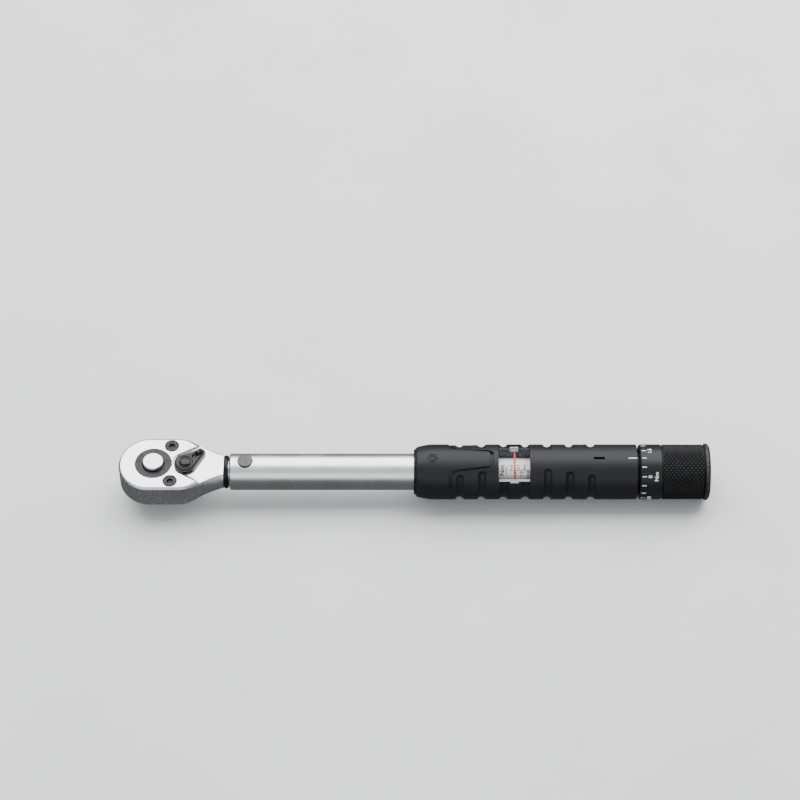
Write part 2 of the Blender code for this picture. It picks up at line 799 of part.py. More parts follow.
def adjuster_nut():
    """The carriage that runs along the spindle's thread and presses on the main spring."""
    bore = 4.05 * MM
    profile = [
        (4.55 * MM, 156.0 * MM),
        (4.55 * MM, 127.8 * MM),
        (5.45 * MM, 127.8 * MM),
        (5.45 * MM, NUT_FRONT),
        (bore, NUT_FRONT),
        (bore, 156.0 * MM),
    ]
    nut = as_part(turned("adjuster_nut", profile, steps=MIDDLE_STEPS, closed=True), "brass")
    key_at = (126.0 * MM, 0, -5.75 * MM)
    cut(nut, box("cut_nut_key", (3.9 * MM, 1.9 * MM, 2.4 * MM), (key_at[0], 0, -5.8 * MM)))
    as_part(box("nut_key", (3.6 * MM, 1.6 * MM, 1.8 * MM), key_at), "bare_steel")
    seat = ring("spring_seat", 2.9 * MM, 5.4 * MM, 114.5 * MM, 115.8 * MM, steps=MIDDLE_STEPS)
    as_part(seat, "bare_steel")
    as_part(ring("scale_sleeve", 4.75 * MM, SLEEVE_R, SLEEVE_FRONT, SLEEVE_REAR), "white_scale")
    clip = ring("sleeve_clip", 4.7 * MM, 5.45 * MM, 153.3 * MM, 154.3 * MM, steps=MIDDLE_STEPS)
    as_part(clip, "bare_steel")


def spindle():
    """The adjusting screw: thread, thrust collar, journal, and a hexagon that the knob slides on."""
    profile = [
        (0, 190.4 * MM),
        (3.1 * MM, 190.4 * MM),
        (3.1 * MM, COLLAR_FRONT + 3.0 * MM),
        (5.2 * MM, COLLAR_FRONT + 3.0 * MM),
        (5.2 * MM, COLLAR_FRONT),
        (3.1 * MM, COLLAR_FRONT),
        (3.1 * MM, 158.6 * MM),
        (3.8 * MM, 157.9 * MM),
        (3.8 * MM, 119.6 * MM),
        (3.2 * MM, 119.0 * MM),
        (0, 119.0 * MM),
    ]
    made = as_part(turned("adjusting_spindle", profile, steps=MIDDLE_STEPS), "bare_steel")
    hexagon_r = 3.0 * MM / math.cos(math.pi / 6)
    hexagon = cylinder("cut_spindle_hex", hexagon_r, 13.3 * MM, (196.45 * MM, 0, 0), "X", 6)
    join(made, hexagon)
    cut(made, cylinder("cut_spindle_tap", 1.45 * MM, 20 * MM, (204.0 * MM, 0, 0), "X"))
    washer_ends = (COLLAR_FRONT + 3.3 * MM, BUSHING_FRONT - 0.3 * MM)
    washer = ring("thrust_washer", 3.4 * MM, 5.5 * MM, *washer_ends, steps=MIDDLE_STEPS)
    as_part(washer, "brass")
    washer = ring("knob_washer", 1.5 * MM, 5.0 * MM, 203.35 * MM, 204.3 * MM, steps=SMALL_STEPS)
    as_part(washer, "bare_steel")
    head = [
        (0, 206.8 * MM),
        (2.5 * MM, 206.8 * MM),
        (2.9 * MM, 206.4 * MM),
        (2.9 * MM, 204.5 * MM),
        (1.25 * MM, 204.5 * MM),
        (1.25 * MM, 195.0 * MM),
        (0, 195.0 * MM),
    ]
    screw = as_part(turned("knob_screw", head, steps=SMALL_STEPS), "bare_steel")
    cut(screw, cylinder("cut_knob_screw_hex", 1.45 * MM, 3.0 * MM, (207.0 * MM, 0, 0), "X", 6))


def rear_bushing():
    """The bush pinned into the tube's end. Its collar is the seat that the knob locks on."""
    bore = 3.3 * MM
    profile = [
        (7.9 * MM, 189.5 * MM),
        (8.2 * MM, 189.2 * MM),
        (8.2 * MM, 188.4 * MM),
        (7.5 * MM, 188.4 * MM),
        (7.5 * MM, 187.1 * MM),
        (8.2 * MM, 187.1 * MM),
        (8.2 * MM, 185.5 * MM),
        (8.6 * MM, 185.2 * MM),
        (8.6 * MM, 183.3 * MM),
        (5.6 * MM, 183.3 * MM),
        (5.6 * MM, BUSHING_FRONT),
        (bore, BUSHING_FRONT),
        (bore, 189.5 * MM),
    ]
    made = as_part(turned("rear_bushing", profile, closed=True), "black_anodised")
    cut(
        made,
        cylinder("cut_bushing_cross_pin", 1.05 * MM, 4.0 * MM, (176.5 * MM, 5.6 * MM, 0), "Y"),
        radial_box("cut_bushing_key", 4.3 * MM, 1.25 * MM, 4.6 * MM, 8.0 * MM, 170.1 * MM, HANDLE_CLOCK),
    )
    as_part(cylinder("bushing_pin", 0.95 * MM, 2.9 * MM, (176.5 * MM, 5.5 * MM, 0), "Y", 16), "bare_steel")
    groove = [(8.5 * MM, 188.0 * MM), (8.5 * MM, 187.5 * MM), (8.2 * MM, 187.25 * MM)]
    groove += [(7.6 * MM, 187.25 * MM), (7.6 * MM, 188.25 * MM), (8.2 * MM, 188.25 * MM)]
    as_part(turned("lock_ring", groove, closed=True), "black_rubber")


def knob():
    """The micrometer knob: graduated ring, knurled grip and end flange, with a hexagonal bore."""
    profile = [
        (KNOB_R - 0.65 * MM, KNOB_FRONT),
        (KNOB_R, KNOB_FRONT + 1.0 * MM),
        (KNOB_R, KNURL_FRONT - 0.4 * MM),
        (KNOB_R - 0.35 * MM, KNURL_FRONT),
        (KNOB_R - 0.05 * MM, KNURL_FRONT + 0.3 * MM),
        (KNOB_R - 0.05 * MM, FLANGE_FRONT - 0.3 * MM),
        (KNOB_R - 0.5 * MM, FLANGE_FRONT),
        (FLANGE_R, FLANGE_FRONT + 0.25 * MM),
        (FLANGE_R, KNOB_REAR - 0.7 * MM),
        (FLANGE_R - 0.7 * MM, KNOB_REAR),
        (8.4 * MM, KNOB_REAR),
        (8.4 * MM, KNOB_REAR - 1.5 * MM),
        (6.2 * MM, KNOB_REAR - 1.5 * MM),
        (6.2 * MM, 200.1 * MM),
        (2.0 * MM, 200.1 * MM),
        (2.0 * MM, 190.3 * MM),
        (8.65 * MM, 190.3 * MM),
        (8.65 * MM, KNOB_FRONT),
    ]
    profile = profile[::-1]  # drawn from the front, so it is turned round to run down its outer side
    made = as_part(turned("knob", profile, closed=True), "black_anodised")
    hexagon_r = 3.25 * MM / math.cos(math.pi / 6)
    cut(made, cylinder("cut_knob_hex", hexagon_r, 14.0 * MM, (195.2 * MM, 0, 0), "X", 6))
    rear = KNOB_REAR + 0.2 * MM
    cap = [
        (0, rear),
        (5.5 * MM, rear - 0.05 * MM),
        (7.6 * MM, rear - 0.2 * MM),
        (8.2 * MM, rear - 0.6 * MM),
        (8.2 * MM, KNOB_REAR - 1.3 * MM),
        (0, KNOB_REAR - 1.3 * MM),
    ]
    as_part(turned("end_cap", cap), "black_plastic")


# ---------------------------------------------------------------- handle


def groove_cutter(number):
    """A half-round finger groove that runs from one side, under the handle, to the other."""
    x = GROOVE_FIRST_X + number * GROOVE_PITCH
    wire = GROOVE_WIDTH / 2
    radius = HANDLE_R + wire - GROOVE_DEPTH
    end = GROOVE_ENDS[number] + wire / radius
    count = 13
    points = []
    for i in range(count + 1):
        a = HANDLE_CLOCK + end + (2 * math.pi - 2 * end) * i / count
        points.append((x, -radius * math.sin(a), radius * math.cos(a)))
    return rod_along(f"cut_groove_{number + 1}", points, wire, 1)


def handle_grip():
    """The moulded handle, with its scale window, finger grooves and key slot."""
    profile = [
        (HANDLE_R - 0.25 * MM, HANDLE_REAR),
        (HANDLE_R, HANDLE_REAR - 0.3 * MM),
        (HANDLE_R, 107.0 * MM),
        (HANDLE_R - 0.2 * MM, 104.0 * MM),
        (HANDLE_R - 0.7 * MM, 101.2 * MM),
        (HANDLE_R - 1.3 * MM, HANDLE_FRONT),
        (8.85 * MM, HANDLE_FRONT),
        (8.85 * MM, 101.7 * MM),
        (HANDLE_BORE_R, 101.7 * MM),
        (HANDLE_BORE_R, 183.0 * MM),
        (8.9 * MM, 183.0 * MM),
        (8.9 * MM, HANDLE_REAR),
    ]
    grip = as_part(turned("handle_grip", profile, steps=48, closed=True), "black_plastic")
    cut(
        grip,
        *lens_shape("cut_window", 5.0 * MM, 12.0 * MM, 0.15 * MM),
        radial_box("cut_key_slot", 4.2 * MM, 1.1 * MM, 6.0 * MM, 12.0 * MM, 170.1 * MM, HANDLE_CLOCK),
    )
    cut(grip, *[groove_cutter(number) for number in range(GROOVE_COUNT)])
    seal = ring("grip_seal", 7.2 * MM, 8.7 * MM, 99.6 * MM, 101.5 * MM, steps=MIDDLE_STEPS)
    as_part(seal, "black_rubber")
    key = radial_box("handle_key", 4.0 * MM, 0.8 * MM, 4.9 * MM, 9.5 * MM, 170.1 * MM, HANDLE_CLOCK)
    as_part(key, "black_steel")


def lens_shape(name, inner, outer, grow=0.0):
    """The window's pane and the tab at each of its ends, as two sectors."""
    slack = grow / HANDLE_R
    middle_x = (WINDOW_FRONT + WINDOW_REAR) / 2
    front, rear = WINDOW_FRONT - grow, WINDOW_REAR + grow
    half_angle = WINDOW_HALF_ANGLE + slack
    pane = sector(name + "_pane", inner, outer, front, rear, WINDOW_CLOCK, half_angle)
    tabs = sector(
        name + "_tabs",
        inner,
        outer,
        middle_x - TAB_WIDTH / 2 - grow,
        middle_x + TAB_WIDTH / 2 + grow,
        WINDOW_CLOCK,
        WINDOW_HALF_ANGLE + TAB_ANGLE + slack,
    )
    return pane, tabs


def window_lens():
    pane, tabs = lens_shape("window_lens", 8.7 * MM, HANDLE_R - 0.1 * MM)
    pane.name = "window_lens"
    as_part(pane, "clear_acrylic")
    join(pane, tabs)


# ---------------------------------------------------------------- joints and assembly


def joint_axis(name, parent, at, moving):
    """An empty on a joint's axis. It takes over the pieces that move on it."""
    axis = bpy.data.objects.new(name, None)
    axis.parent = parent
    axis.location = Vector(at) if parent is WRENCH else Vector(at) - parent.location
    PARTS.objects.link(axis)
    for piece in moving:
        obj = bpy.data.objects[piece]
        obj.location -= Vector(at)
        obj.parent = axis
    return axis


def joint_axes():
    fixed_to_head = ["head_body", "cover_plate", "head_screw_1", "head_screw_2", "neck_seal"]
    drive = ["ratchet_gear", "button_retainer", "button_spring", "release_button", "detent_ball"]
    lever = ["reverse_lever", "lever_detent_ball", "lever_detent_spring", "lever_snap_ring", "pawl"]
    head_pivot = joint_axis("head_pivot", WRENCH, (PIN_X, 0, 0), fixed_to_head)
    joint_axis("drive_axis", head_pivot, (0, 0, 0), drive)
    joint_axis("lever_axis", head_pivot, (LEVER_X, 0, 0), lever)


clear_scene()
PARTS = new_collection("torque_wrench")
CUTTERS = new_collection("cutters")
WRENCH = bpy.data.objects.new("wrench_axis", None)
WRENCH.location = (0, 0, AXIS_HEIGHT)
PARTS.objects.link(WRENCH)

head_body()
cover_plate()
head_screws()
neck_seal()
ratchet_gear()
release_button()
small_drive_parts()
pawl()
reverse_lever()
lever_snap_ring()
tube()
pivot_pin()
click_mechanism()
adjuster_nut()
spindle()
rear_bushing()
knob()
handle_grip()
window_lens()
joint_axes()
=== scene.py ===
"""Looks for the click torque wrench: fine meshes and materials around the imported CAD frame.

Shapes are worked out in the wrench's own frame, in millimetres: X runs along the tube from the drive's axis,
Z points out of the release-button side, and an angle about the tube is in degrees from +Z towards -Y.
"""

import json
import math

import bmesh
import bpy
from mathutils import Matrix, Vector


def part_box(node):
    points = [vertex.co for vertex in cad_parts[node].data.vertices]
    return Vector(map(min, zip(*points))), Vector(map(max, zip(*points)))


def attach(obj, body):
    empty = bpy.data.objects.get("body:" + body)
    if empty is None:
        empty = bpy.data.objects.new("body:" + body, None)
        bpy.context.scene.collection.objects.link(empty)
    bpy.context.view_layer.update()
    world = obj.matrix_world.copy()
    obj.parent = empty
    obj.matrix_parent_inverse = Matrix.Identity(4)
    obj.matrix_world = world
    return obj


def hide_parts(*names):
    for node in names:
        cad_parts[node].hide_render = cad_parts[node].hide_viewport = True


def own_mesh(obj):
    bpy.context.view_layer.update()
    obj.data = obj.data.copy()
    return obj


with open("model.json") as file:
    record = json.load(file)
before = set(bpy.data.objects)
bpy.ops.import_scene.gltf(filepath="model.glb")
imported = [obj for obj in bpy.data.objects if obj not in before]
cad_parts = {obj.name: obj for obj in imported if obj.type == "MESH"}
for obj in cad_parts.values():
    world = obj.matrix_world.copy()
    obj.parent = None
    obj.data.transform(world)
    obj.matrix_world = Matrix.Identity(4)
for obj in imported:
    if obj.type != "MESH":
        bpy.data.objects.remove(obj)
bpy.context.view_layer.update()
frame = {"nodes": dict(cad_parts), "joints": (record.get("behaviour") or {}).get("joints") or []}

# ---------------------------------------------------------------- measures, in millimetres

MM = 0.001


def span(node):
    """A CAD node's lowest and highest corners, in millimetres."""
    low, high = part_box(node)
    return low / MM, high / MM


def half(box, axis="y"):
    return (getattr(box[1], axis) - getattr(box[0], axis)) / 2


TUBE = span("tube")
AXIS_Z = (TUBE[0].z + TUBE[1].z) / 2
HEAD = span("head_body")
PIN = span("pivot_pin")
SEAL = span("neck_seal")
GRIP = span("handle_grip")
LENS = span("window_lens")
SLEEVE = span("scale_sleeve")
KNOB = span("knob")
CAP = span("end_cap")
BUTTON = span("release_button")
RETAINER = span("button_retainer")
LEVER = span("reverse_lever")
SCREWS = [span("head_screw_1"), span("head_screw_2")]

JOINTS = {joint["name"]: joint for joint in frame["joints"]}
PIN_X = JOINTS["head_click"]["pos_m"][0] / MM
LEVER_X = JOINTS["lever_turn"]["pos_m"][0] / MM

HEAD_TOP = HEAD[1].z - AXIS_Z
HEAD_BOTTOM = HEAD[0].z - AXIS_Z
HEAD_END = HEAD[0].x
NECK_END = 26.8
TUBE_FRONT = TUBE[0].x
TUBE_REAR = TUBE[1].x
TUBE_R = half(TUBE)
BORE_R = 5.8
GRIP_FRONT = GRIP[0].x
GRIP_REAR = GRIP[1].x
GRIP_R = half(GRIP)
KNOB_FRONT = KNOB[0].x
KNOB_REAR = KNOB[1].x
KNOB_R = 10.55
KNURL_FRONT = 194.3
FLANGE_FRONT = 210.6
FLANGE_R = half(KNOB)
SLEEVE_FRONT, SLEEVE_REAR = SLEEVE[0].x, SLEEVE[1].x
SLEEVE_R = half(SLEEVE)
RETAINER_R = half(RETAINER, "x")

GRIP_CLOCK = 7.7  # degrees that the handle's features are turned towards -Y
WINDOW_CLOCK = 16.7
WINDOW_HALF = 41.3
WINDOW_FRONT, WINDOW_REAR = LENS[0].x, LENS[1].x
WINDOW_MIDDLE = (WINDOW_FRONT + WINDOW_REAR) / 2
HAIRLINE_X = 138.0
KEY_SLOT = (168.0, 172.2)  # the stations of the key that stops the handle from turning
KEY_HOLE = (KEY_SLOT[0] - 0.05, KEY_SLOT[1] + 0.05)


# ---------------------------------------------------------------- materials

CHROME = (0.86, 0.86, 0.865)
SPRING_STEEL = {"base": (0.4, 0.4, 0.42), "low": 0.2, "high": 0.34}


class Surface:
    """A material under construction, with textures in object coordinates and sizes in millimetres."""

    def __init__(self, name, base, metallic=0.0, roughness=0.5, edge=0.0, **inputs):
        self.material = bpy.data.materials.new(name)
        self.material.use_nodes = True
        self.tree = self.material.node_tree
        self.shader = self.tree.nodes["Principled BSDF"]
        sockets = {socket.name.lower(): socket for socket in self.shader.inputs}
        inputs.update(base_color=(*base, 1), metallic=metallic, roughness=roughness)
        for key, value in inputs.items():
            sockets[key.replace("_", " ")].default_value = value
        self.normal = None
        if edge:
            softened = self.node("ShaderNodeBevel", samples=6)
            softened.inputs["Radius"].default_value = edge * MM
            self.normal = softened.outputs["Normal"]

    def node(self, kind, **values):
        made = self.tree.nodes.new(kind)
        for key, value in values.items():
            setattr(made, key, value)
        return made

    def link(self, source, target):
        self.tree.links.new(source, target)

    def millimetres(self, stretch=(1, 1, 1), centre=(0, 0, 0)):
        """Object coordinates in millimetres from a point, and squeezed along each axis."""
        mapping = self.node("ShaderNodeMapping", vector_type="POINT")
        mapping.inputs["Scale"].default_value = [s / MM for s in stretch]
        mapping.inputs["Location"].default_value = [-c * s for c, s in zip(centre, stretch)]
        self.link(self.node("ShaderNodeTexCoord").outputs["Object"], mapping.inputs["Vector"])
        return mapping.outputs["Vector"]

    def split(self, vector):
        made = self.node("ShaderNodeSeparateXYZ")
        self.link(vector, made.inputs["Vector"])
        return made.outputs

    def noise(self, scale, detail=3.0, stretch=(1, 1, 1), rough=0.5):
        """Noise with about this many cells to the millimetre."""
        made = self.node("ShaderNodeTexNoise")
        for key, value in (("Scale", scale), ("Detail", detail), ("Roughness", rough)):
            made.inputs[key].default_value = value
        self.link(self.millimetres(stretch), made.inputs["Vector"])
        return made.outputs["Fac"]

    def map(self, value, from_low, from_high, to_low, to_high):
        made = self.node("ShaderNodeMapRange")
        limits = {"From Min": from_low, "From Max": from_high, "To Min": to_low, "To Max": to_high}
        for key, limit in limits.items():
            made.inputs[key].default_value = limit
        self.link(value, made.inputs["Value"])
        return made.outputs["Result"]

    def even(self, value, low, high):
        """A noise's usual range, spread from low to high."""
        return self.map(value, 0.3, 0.7, low, high)

    def math(self, operation, first, second=0.0):
        made = self.node("ShaderNodeMath", operation=operation)
        for socket, value in zip(made.inputs, (first, second)):
            if isinstance(value, (int, float)):
                socket.default_value = value
            else:
                self.link(value, socket)
        return made.outputs["Value"]

    def blend(self, factor, first, second):
        """Mixes two colours. Each is a colour or a socket."""
        made = self.node("ShaderNodeMix", data_type="RGBA")
        self.link(factor, made.inputs["Factor"])
        for socket, value in ((made.inputs[6], first), (made.inputs[7], second)):
            if isinstance(value, tuple):
                socket.default_value = (*value, 1)
            else:
                self.link(value, socket)
        return made.outputs[2]

    def colour(self, value):
        self.link(value, self.shader.inputs["Base Color"])

    def rough(self, value):
        self.link(value, self.shader.inputs["Roughness"])

    def bump(self, height, depth, strength):
        """Adds relief of about this depth."""
        made = self.node("ShaderNodeBump")
        made.inputs["Strength"].default_value = strength
        made.inputs["Distance"].default_value = depth * MM
        self.link(height, made.inputs["Height"])
        if self.normal is not None:
            self.link(self.normal, made.inputs["Normal"])
        self.normal = made.outputs["Normal"]
        return self

    def done(self):
        if self.normal is not None:
            self.link(self.normal, self.shader.inputs["Normal"])
        return self.material


def chrome_with_painted_side_shade(s, smudge, dark, shade_start, shade_most, relief, strength):
    """Colours bright plate, with painted shade in dark patches on its upright sides, which also get a grainy
    bump. Returns how upright each point is.
    """
    level = s.map(s.split(s.node("ShaderNodeTexCoord").outputs["Normal"])["Z"], 0.35, 0.85, 0, 1)
    upright = s.math("SUBTRACT", 1.0, level)
    plate = s.blend(s.even(smudge, 0, 1), (0.89, 0.89, 0.895), (0.95, 0.95, 0.955))
    # painted shade: the upright sides are darkened in patches, as if reflecting dark surroundings
    shade_patches = s.map(s.noise(1.9, 4, rough=0.7), shade_start, 0.62, shade_most, 0.0)
    s.colour(s.blend(s.math("MULTIPLY", upright, shade_patches), plate, dark))
    s.bump(s.math("MULTIPLY", s.noise(1.7, 3, rough=0.75), upright), relief, strength)
    return upright


def forged_chrome():
    """Satin chrome plate, grainier and with painted shade on the forging's upright sides."""
    s = Surface("head_satin_chrome", CHROME, metallic=1, roughness=0.25, edge=0.12)
    smudge, micro = s.noise(0.12, 4), s.noise(9, 2)
    # the colour, start and strength of the painted shade on the upright sides
    upright = chrome_with_painted_side_shade(s, smudge, (0.30, 0.30, 0.32), 0.36, 0.75, 0.16, 0.8)
    roughness = s.math("ADD", s.even(smudge, 0.22, 0.3), s.even(micro, -0.03, 0.03))
    s.rough(s.math("ADD", roughness, s.math("MULTIPLY", upright, 0.16)))
    return s.bump(micro, 0.008, 0.35).done()


def brushed_tube():
    """Satin chrome with faint polishing lines round the tube, grainier and with painted shade down its
    flanks.
    """
    s = Surface("tube_satin_chrome", CHROME, metallic=1, roughness=0.32, edge=0.1)
    lines, smudge = s.noise(1.0, 3, stretch=(5, 0.3, 0.3)), s.noise(0.08, 4)
    # the colour, start and strength of the painted shade down the flanks
    chrome_with_painted_side_shade(s, smudge, (0.36, 0.36, 0.38), 0.38, 0.45, 0.06, 0.6)
    s.rough(s.math("ADD", s.even(lines, 0.27, 0.34), s.map(smudge, 0.35, 0.7, 0, 0.06)))
    return s.bump(lines, 0.003, 0.3).done()


def polished_steel(name, base=(0.82, 0.82, 0.82), low=0.1, high=0.2):
    s = Surface(name, base, metallic=1, roughness=low, edge=0.08)
    s.rough(s.even(s.noise(0.8, 4), low, high))
    return s.bump(s.noise(12, 2), 0.004, 0.3).done()


def ground_steel(name, base, centre=(0, 0), roughness=0.34):
    """Steel turned or ground in fine rings about an upright axis."""
    s = Surface(name, base, metallic=1, roughness=roughness, edge=0.1)
    rings = s.node("ShaderNodeTexWave", wave_type="RINGS", rings_direction="Z")
    for key, value in (("Scale", 1.6), ("Distortion", 1.5), ("Detail", 3)):
        rings.inputs[key].default_value = value
    s.link(s.millimetres(centre=(*centre, 0)), rings.inputs["Vector"])
    stain = s.noise(0.5, 4)
    s.colour(s.blend(s.even(stain, 0, 1), base, tuple(c * 0.72 for c in base)))
    ringed = s.map(rings.outputs["Fac"], 0, 1, -0.05, 0.05)
    s.rough(s.math("ADD", ringed, s.even(stain, roughness, roughness + 0.1)))
    return s.bump(rings.outputs["Fac"], 0.006, 0.4).done()


def black_steel(name, base=(0.028, 0.027, 0.027), roughness=0.4, worn=0.35, metallic=0.6):
    """Black-oxide steel: a soft dark sheen, with a paler bloom here and there."""
    s = Surface(name, base, metallic, roughness, edge=0.1, specular_ior_level=0.38)
    pale = tuple(c * 2.2 + 0.01 for c in base)
    s.colour(s.blend(s.map(s.noise(1.3, 5), 0.5, 0.8, 0, worn), base, pale))
    s.rough(s.even(s.noise(4, 4), roughness - 0.06, roughness + 0.1))
    return s.bump(s.noise(14, 3), 0.012, 0.5).done()


def moulded_plastic(name, roughness=0.44):
    """Satin black plastic with a fine moulded grain and faint handling marks."""
    base = (0.0095, 0.0100, 0.0135)
    s = Surface(name, base, roughness=roughness, edge=0.1, specular_ior_level=0.3)
    rub = s.noise(0.11, 5, rough=0.6)
    s.colour(s.blend(s.map(rub, 0.35, 0.7, 0, 1), base, tuple(c * 1.45 for c in base)))
    fine = s.even(s.noise(5, 2), roughness - 0.03, roughness + 0.03)
    s.rough(s.math("ADD", s.even(rub, -0.05, 0.06), fine))
    return s.bump(s.noise(5.5, 3, rough=0.6), 0.03, 0.35).done()


def knurled_black():
    """Black anodised grip: the knurl's tips are paler than its valleys, partly rubbed wear and partly a
    painted highlight.
    """
    s = Surface("knob_knurl_anodised", (0.006, 0.006, 0.0065), roughness=0.5, specular_ior_level=0.35)
    place = s.split(s.millimetres(centre=(0, 0, AXIS_Z)))
    squares = [s.math("MULTIPLY", place[axis], place[axis]) for axis in "YZ"]
    from_axis = s.math("SQRT", s.math("ADD", *squares))
    tips = s.map(from_axis, KNOB_R - 0.16, KNOB_R, 0, 1)
    # paler tips: rubbed wear together with a painted highlight on the knurl's points
    wear_and_highlight = s.math("MULTIPLY", tips, s.map(s.noise(0.9, 4), 0.4, 0.7, 0.1, 0.9))
    s.colour(s.blend(wear_and_highlight, (0.004, 0.004, 0.0045), (0.06, 0.06, 0.062)))
    s.rough(s.even(s.noise(6, 3), 0.42, 0.58))
    return s.bump(s.noise(10, 2), 0.01, 0.4).done()


def satin_black(name, base=(0.010, 0.010, 0.012), roughness=0.36):
    """Black anodised metal, turned: faint lines run round the axis."""
    s = Surface(name, base, roughness=roughness, edge=0.1, specular_ior_level=0.32)
    lines = s.noise(1.0, 3, stretch=(12, 0.3, 0.3))
    s.colour(s.blend(s.map(s.noise(2.2, 5), 0.55, 0.8, 0, 0.5), base, (0.05, 0.05, 0.055)))
    s.rough(s.even(lines, roughness - 0.06, roughness + 0.08))
    return s.bump(lines, 0.006, 0.4).done()


def rubber(name):
    s = Surface(name, (0.006, 0.006, 0.0065), roughness=0.38, specular_ior_level=0.25)
    s.rough(s.even(s.noise(1.1, 4), 0.26, 0.45))
    return s.bump(s.noise(7, 3), 0.012, 0.4).done()


def scale_white():
    s = Surface("scale_white_enamel", (0.86, 0.86, 0.83), roughness=0.4)
    s.colour(s.blend(s.even(s.noise(0.4, 4), 0, 1), (0.94, 0.94, 0.92), (0.88, 0.88, 0.85)))
    s.rough(s.even(s.noise(3, 3), 0.34, 0.46))
    return s.bump(s.noise(6, 2), 0.006, 0.3).done()


def ink(name, base):
    """Printed or enamelled marking, with a slightly uneven cover."""
    s = Surface(name, base, roughness=0.5)
    pale = tuple(min(1, c * 1.25 + 0.01) for c in base)
    s.colour(s.blend(s.map(s.noise(4, 4), 0.35, 0.7, 0, 1), base, pale))
    s.rough(s.even(s.noise(9, 2), 0.45, 0.58))
    return s.bump(s.noise(12, 2), 0.004, 0.3).done()


def clear_lens():
    """Clear moulded plastic with a painted reflection towards its edges, rougher at its upper tab and lower
    rim and painted pale there as a highlight.
    """
    clear = (0.30, 0.31, 0.33)
    s = Surface("lens_clear", clear, roughness=0.06, ior=1.49, specular_ior_level=0.6)
    place = s.split(s.millimetres(centre=(0, 0, AXIS_Z)))
    turn = s.math("ARCTAN2", s.math("MULTIPLY", place["Y"], -1.0), place["Z"])
    start, end = (math.radians(WINDOW_CLOCK + a) for a in (-WINDOW_HALF - 0.3, WINDOW_HALF - 2.6))
    sharp = 0.012  # radians over which the frosting and its painted highlight begin
    frost_and_highlight = s.math("MAXIMUM", s.map(turn, start, start - sharp, 0, 1), s.map(turn, end, end + sharp, 0, 1))
    layer = s.node("ShaderNodeLayerWeight")
    layer.inputs["Blend"].default_value = 0.3
    haze = s.map(s.noise(0.6, 4), 0.4, 0.8, 0, 0.025)
    # painted reflection: the lens grows more opaque towards grazing angles, so its grey shows at the edges
    alpha = s.math("ADD", s.map(layer.outputs["Facing"], 0.2, 1.0, 0.015, 0.40), haze)
    s.link(s.math("MAXIMUM", alpha, s.math("MULTIPLY", frost_and_highlight, 0.85)), s.shader.inputs["Alpha"])
    # painted highlight: the tab and rim are coloured pale and nearly opaque
    s.colour(s.blend(frost_and_highlight, clear, (0.74, 0.74, 0.72)))
    s.rough(s.math("ADD", s.even(s.noise(2, 3), 0.04, 0.1), s.math("MULTIPLY", frost_and_highlight, 0.3)))
    return s.done()


# ---------------------------------------------------------------- mesh helpers


def at_radius(x, angle, radius):
    """The point at a station, an angle in degrees from +Z towards -Y, and a distance from the axis."""
    a = math.radians(angle)
    return (x, -radius * math.sin(a), radius * math.cos(a))


def shade(mesh, smooth):
    mesh.shade_smooth()
    mesh.set_sharp_from_angle(angle=math.radians(smooth))


def make(name, points, faces, material=None, smooth=35):
    """A mesh object from points in the wrench's frame, in millimetres."""
    mesh = bpy.data.meshes.new(name)
    mesh.from_pydata([(x * MM, y * MM, (z + AXIS_Z) * MM) for x, y, z in points], [], faces)
    outward = bmesh.new()
    outward.from_mesh(mesh)
    bmesh.ops.recalc_face_normals(outward, faces=outward.faces)
    outward.to_mesh(mesh)
    outward.free()
    shade(mesh, smooth)
    obj = bpy.data.objects.new(name, mesh)
    bpy.context.scene.collection.objects.link(obj)
    if material:
        mesh.materials.append(material)
    return obj


def paint(obj, material):
    """Gives a whole piece one material."""
    obj.data.materials.clear()
    obj.data.materials.append(material)


def fit(obj, body, slot, *nodes):
    """Rides a finished piece on its body, and hides the CAD nodes that it stands for."""
    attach(obj, body)
    if nodes:
        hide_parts(*nodes)


def ring_faces(rings, count, first=0, ends=True):
    """Quads between rings of points that follow one another in a list, with a flat face at each end."""
    faces = []
    for r in range(rings - 1):
        a, b = first + r * count, first + (r + 1) * count
        faces += [[a + i, a + (i + 1) % count, b + (i + 1) % count, b + i] for i in range(count)]
    if ends:
        last = first + (rings - 1) * count
        faces += [list(range(first, first + count)), list(range(last, last + count))]
    return faces


def filleted(corners, count=4):
    """A profile with its corners rounded. Each corner is (radius, station) or (radius, station, fillet)."""
    points = []
    for i, corner in enumerate(corners):
        here = Vector(corner[:2])
        if len(corner) < 3:
            points.append(tuple(here))
            continue
        before = (Vector(corners[i - 1][:2]) - here).normalized()
        after = (Vector(corners[(i + 1) % len(corners)][:2]) - here).normalized()
        half_angle = before.angle(after) / 2
        centre = here + (before + after).normalized() * (corner[2] / math.sin(half_angle))
        back = corner[2] / math.tan(half_angle)
        start = here + before * back - centre
        turn = start.angle_signed(here + after * back - centre)
        for step in range(count + 1):
            c, s = math.cos(-turn * step / count), math.sin(-turn * step / count)
            points.append((centre.x + start.x * c - start.y * s, centre.y + start.x * s + start.y * c))
    return points


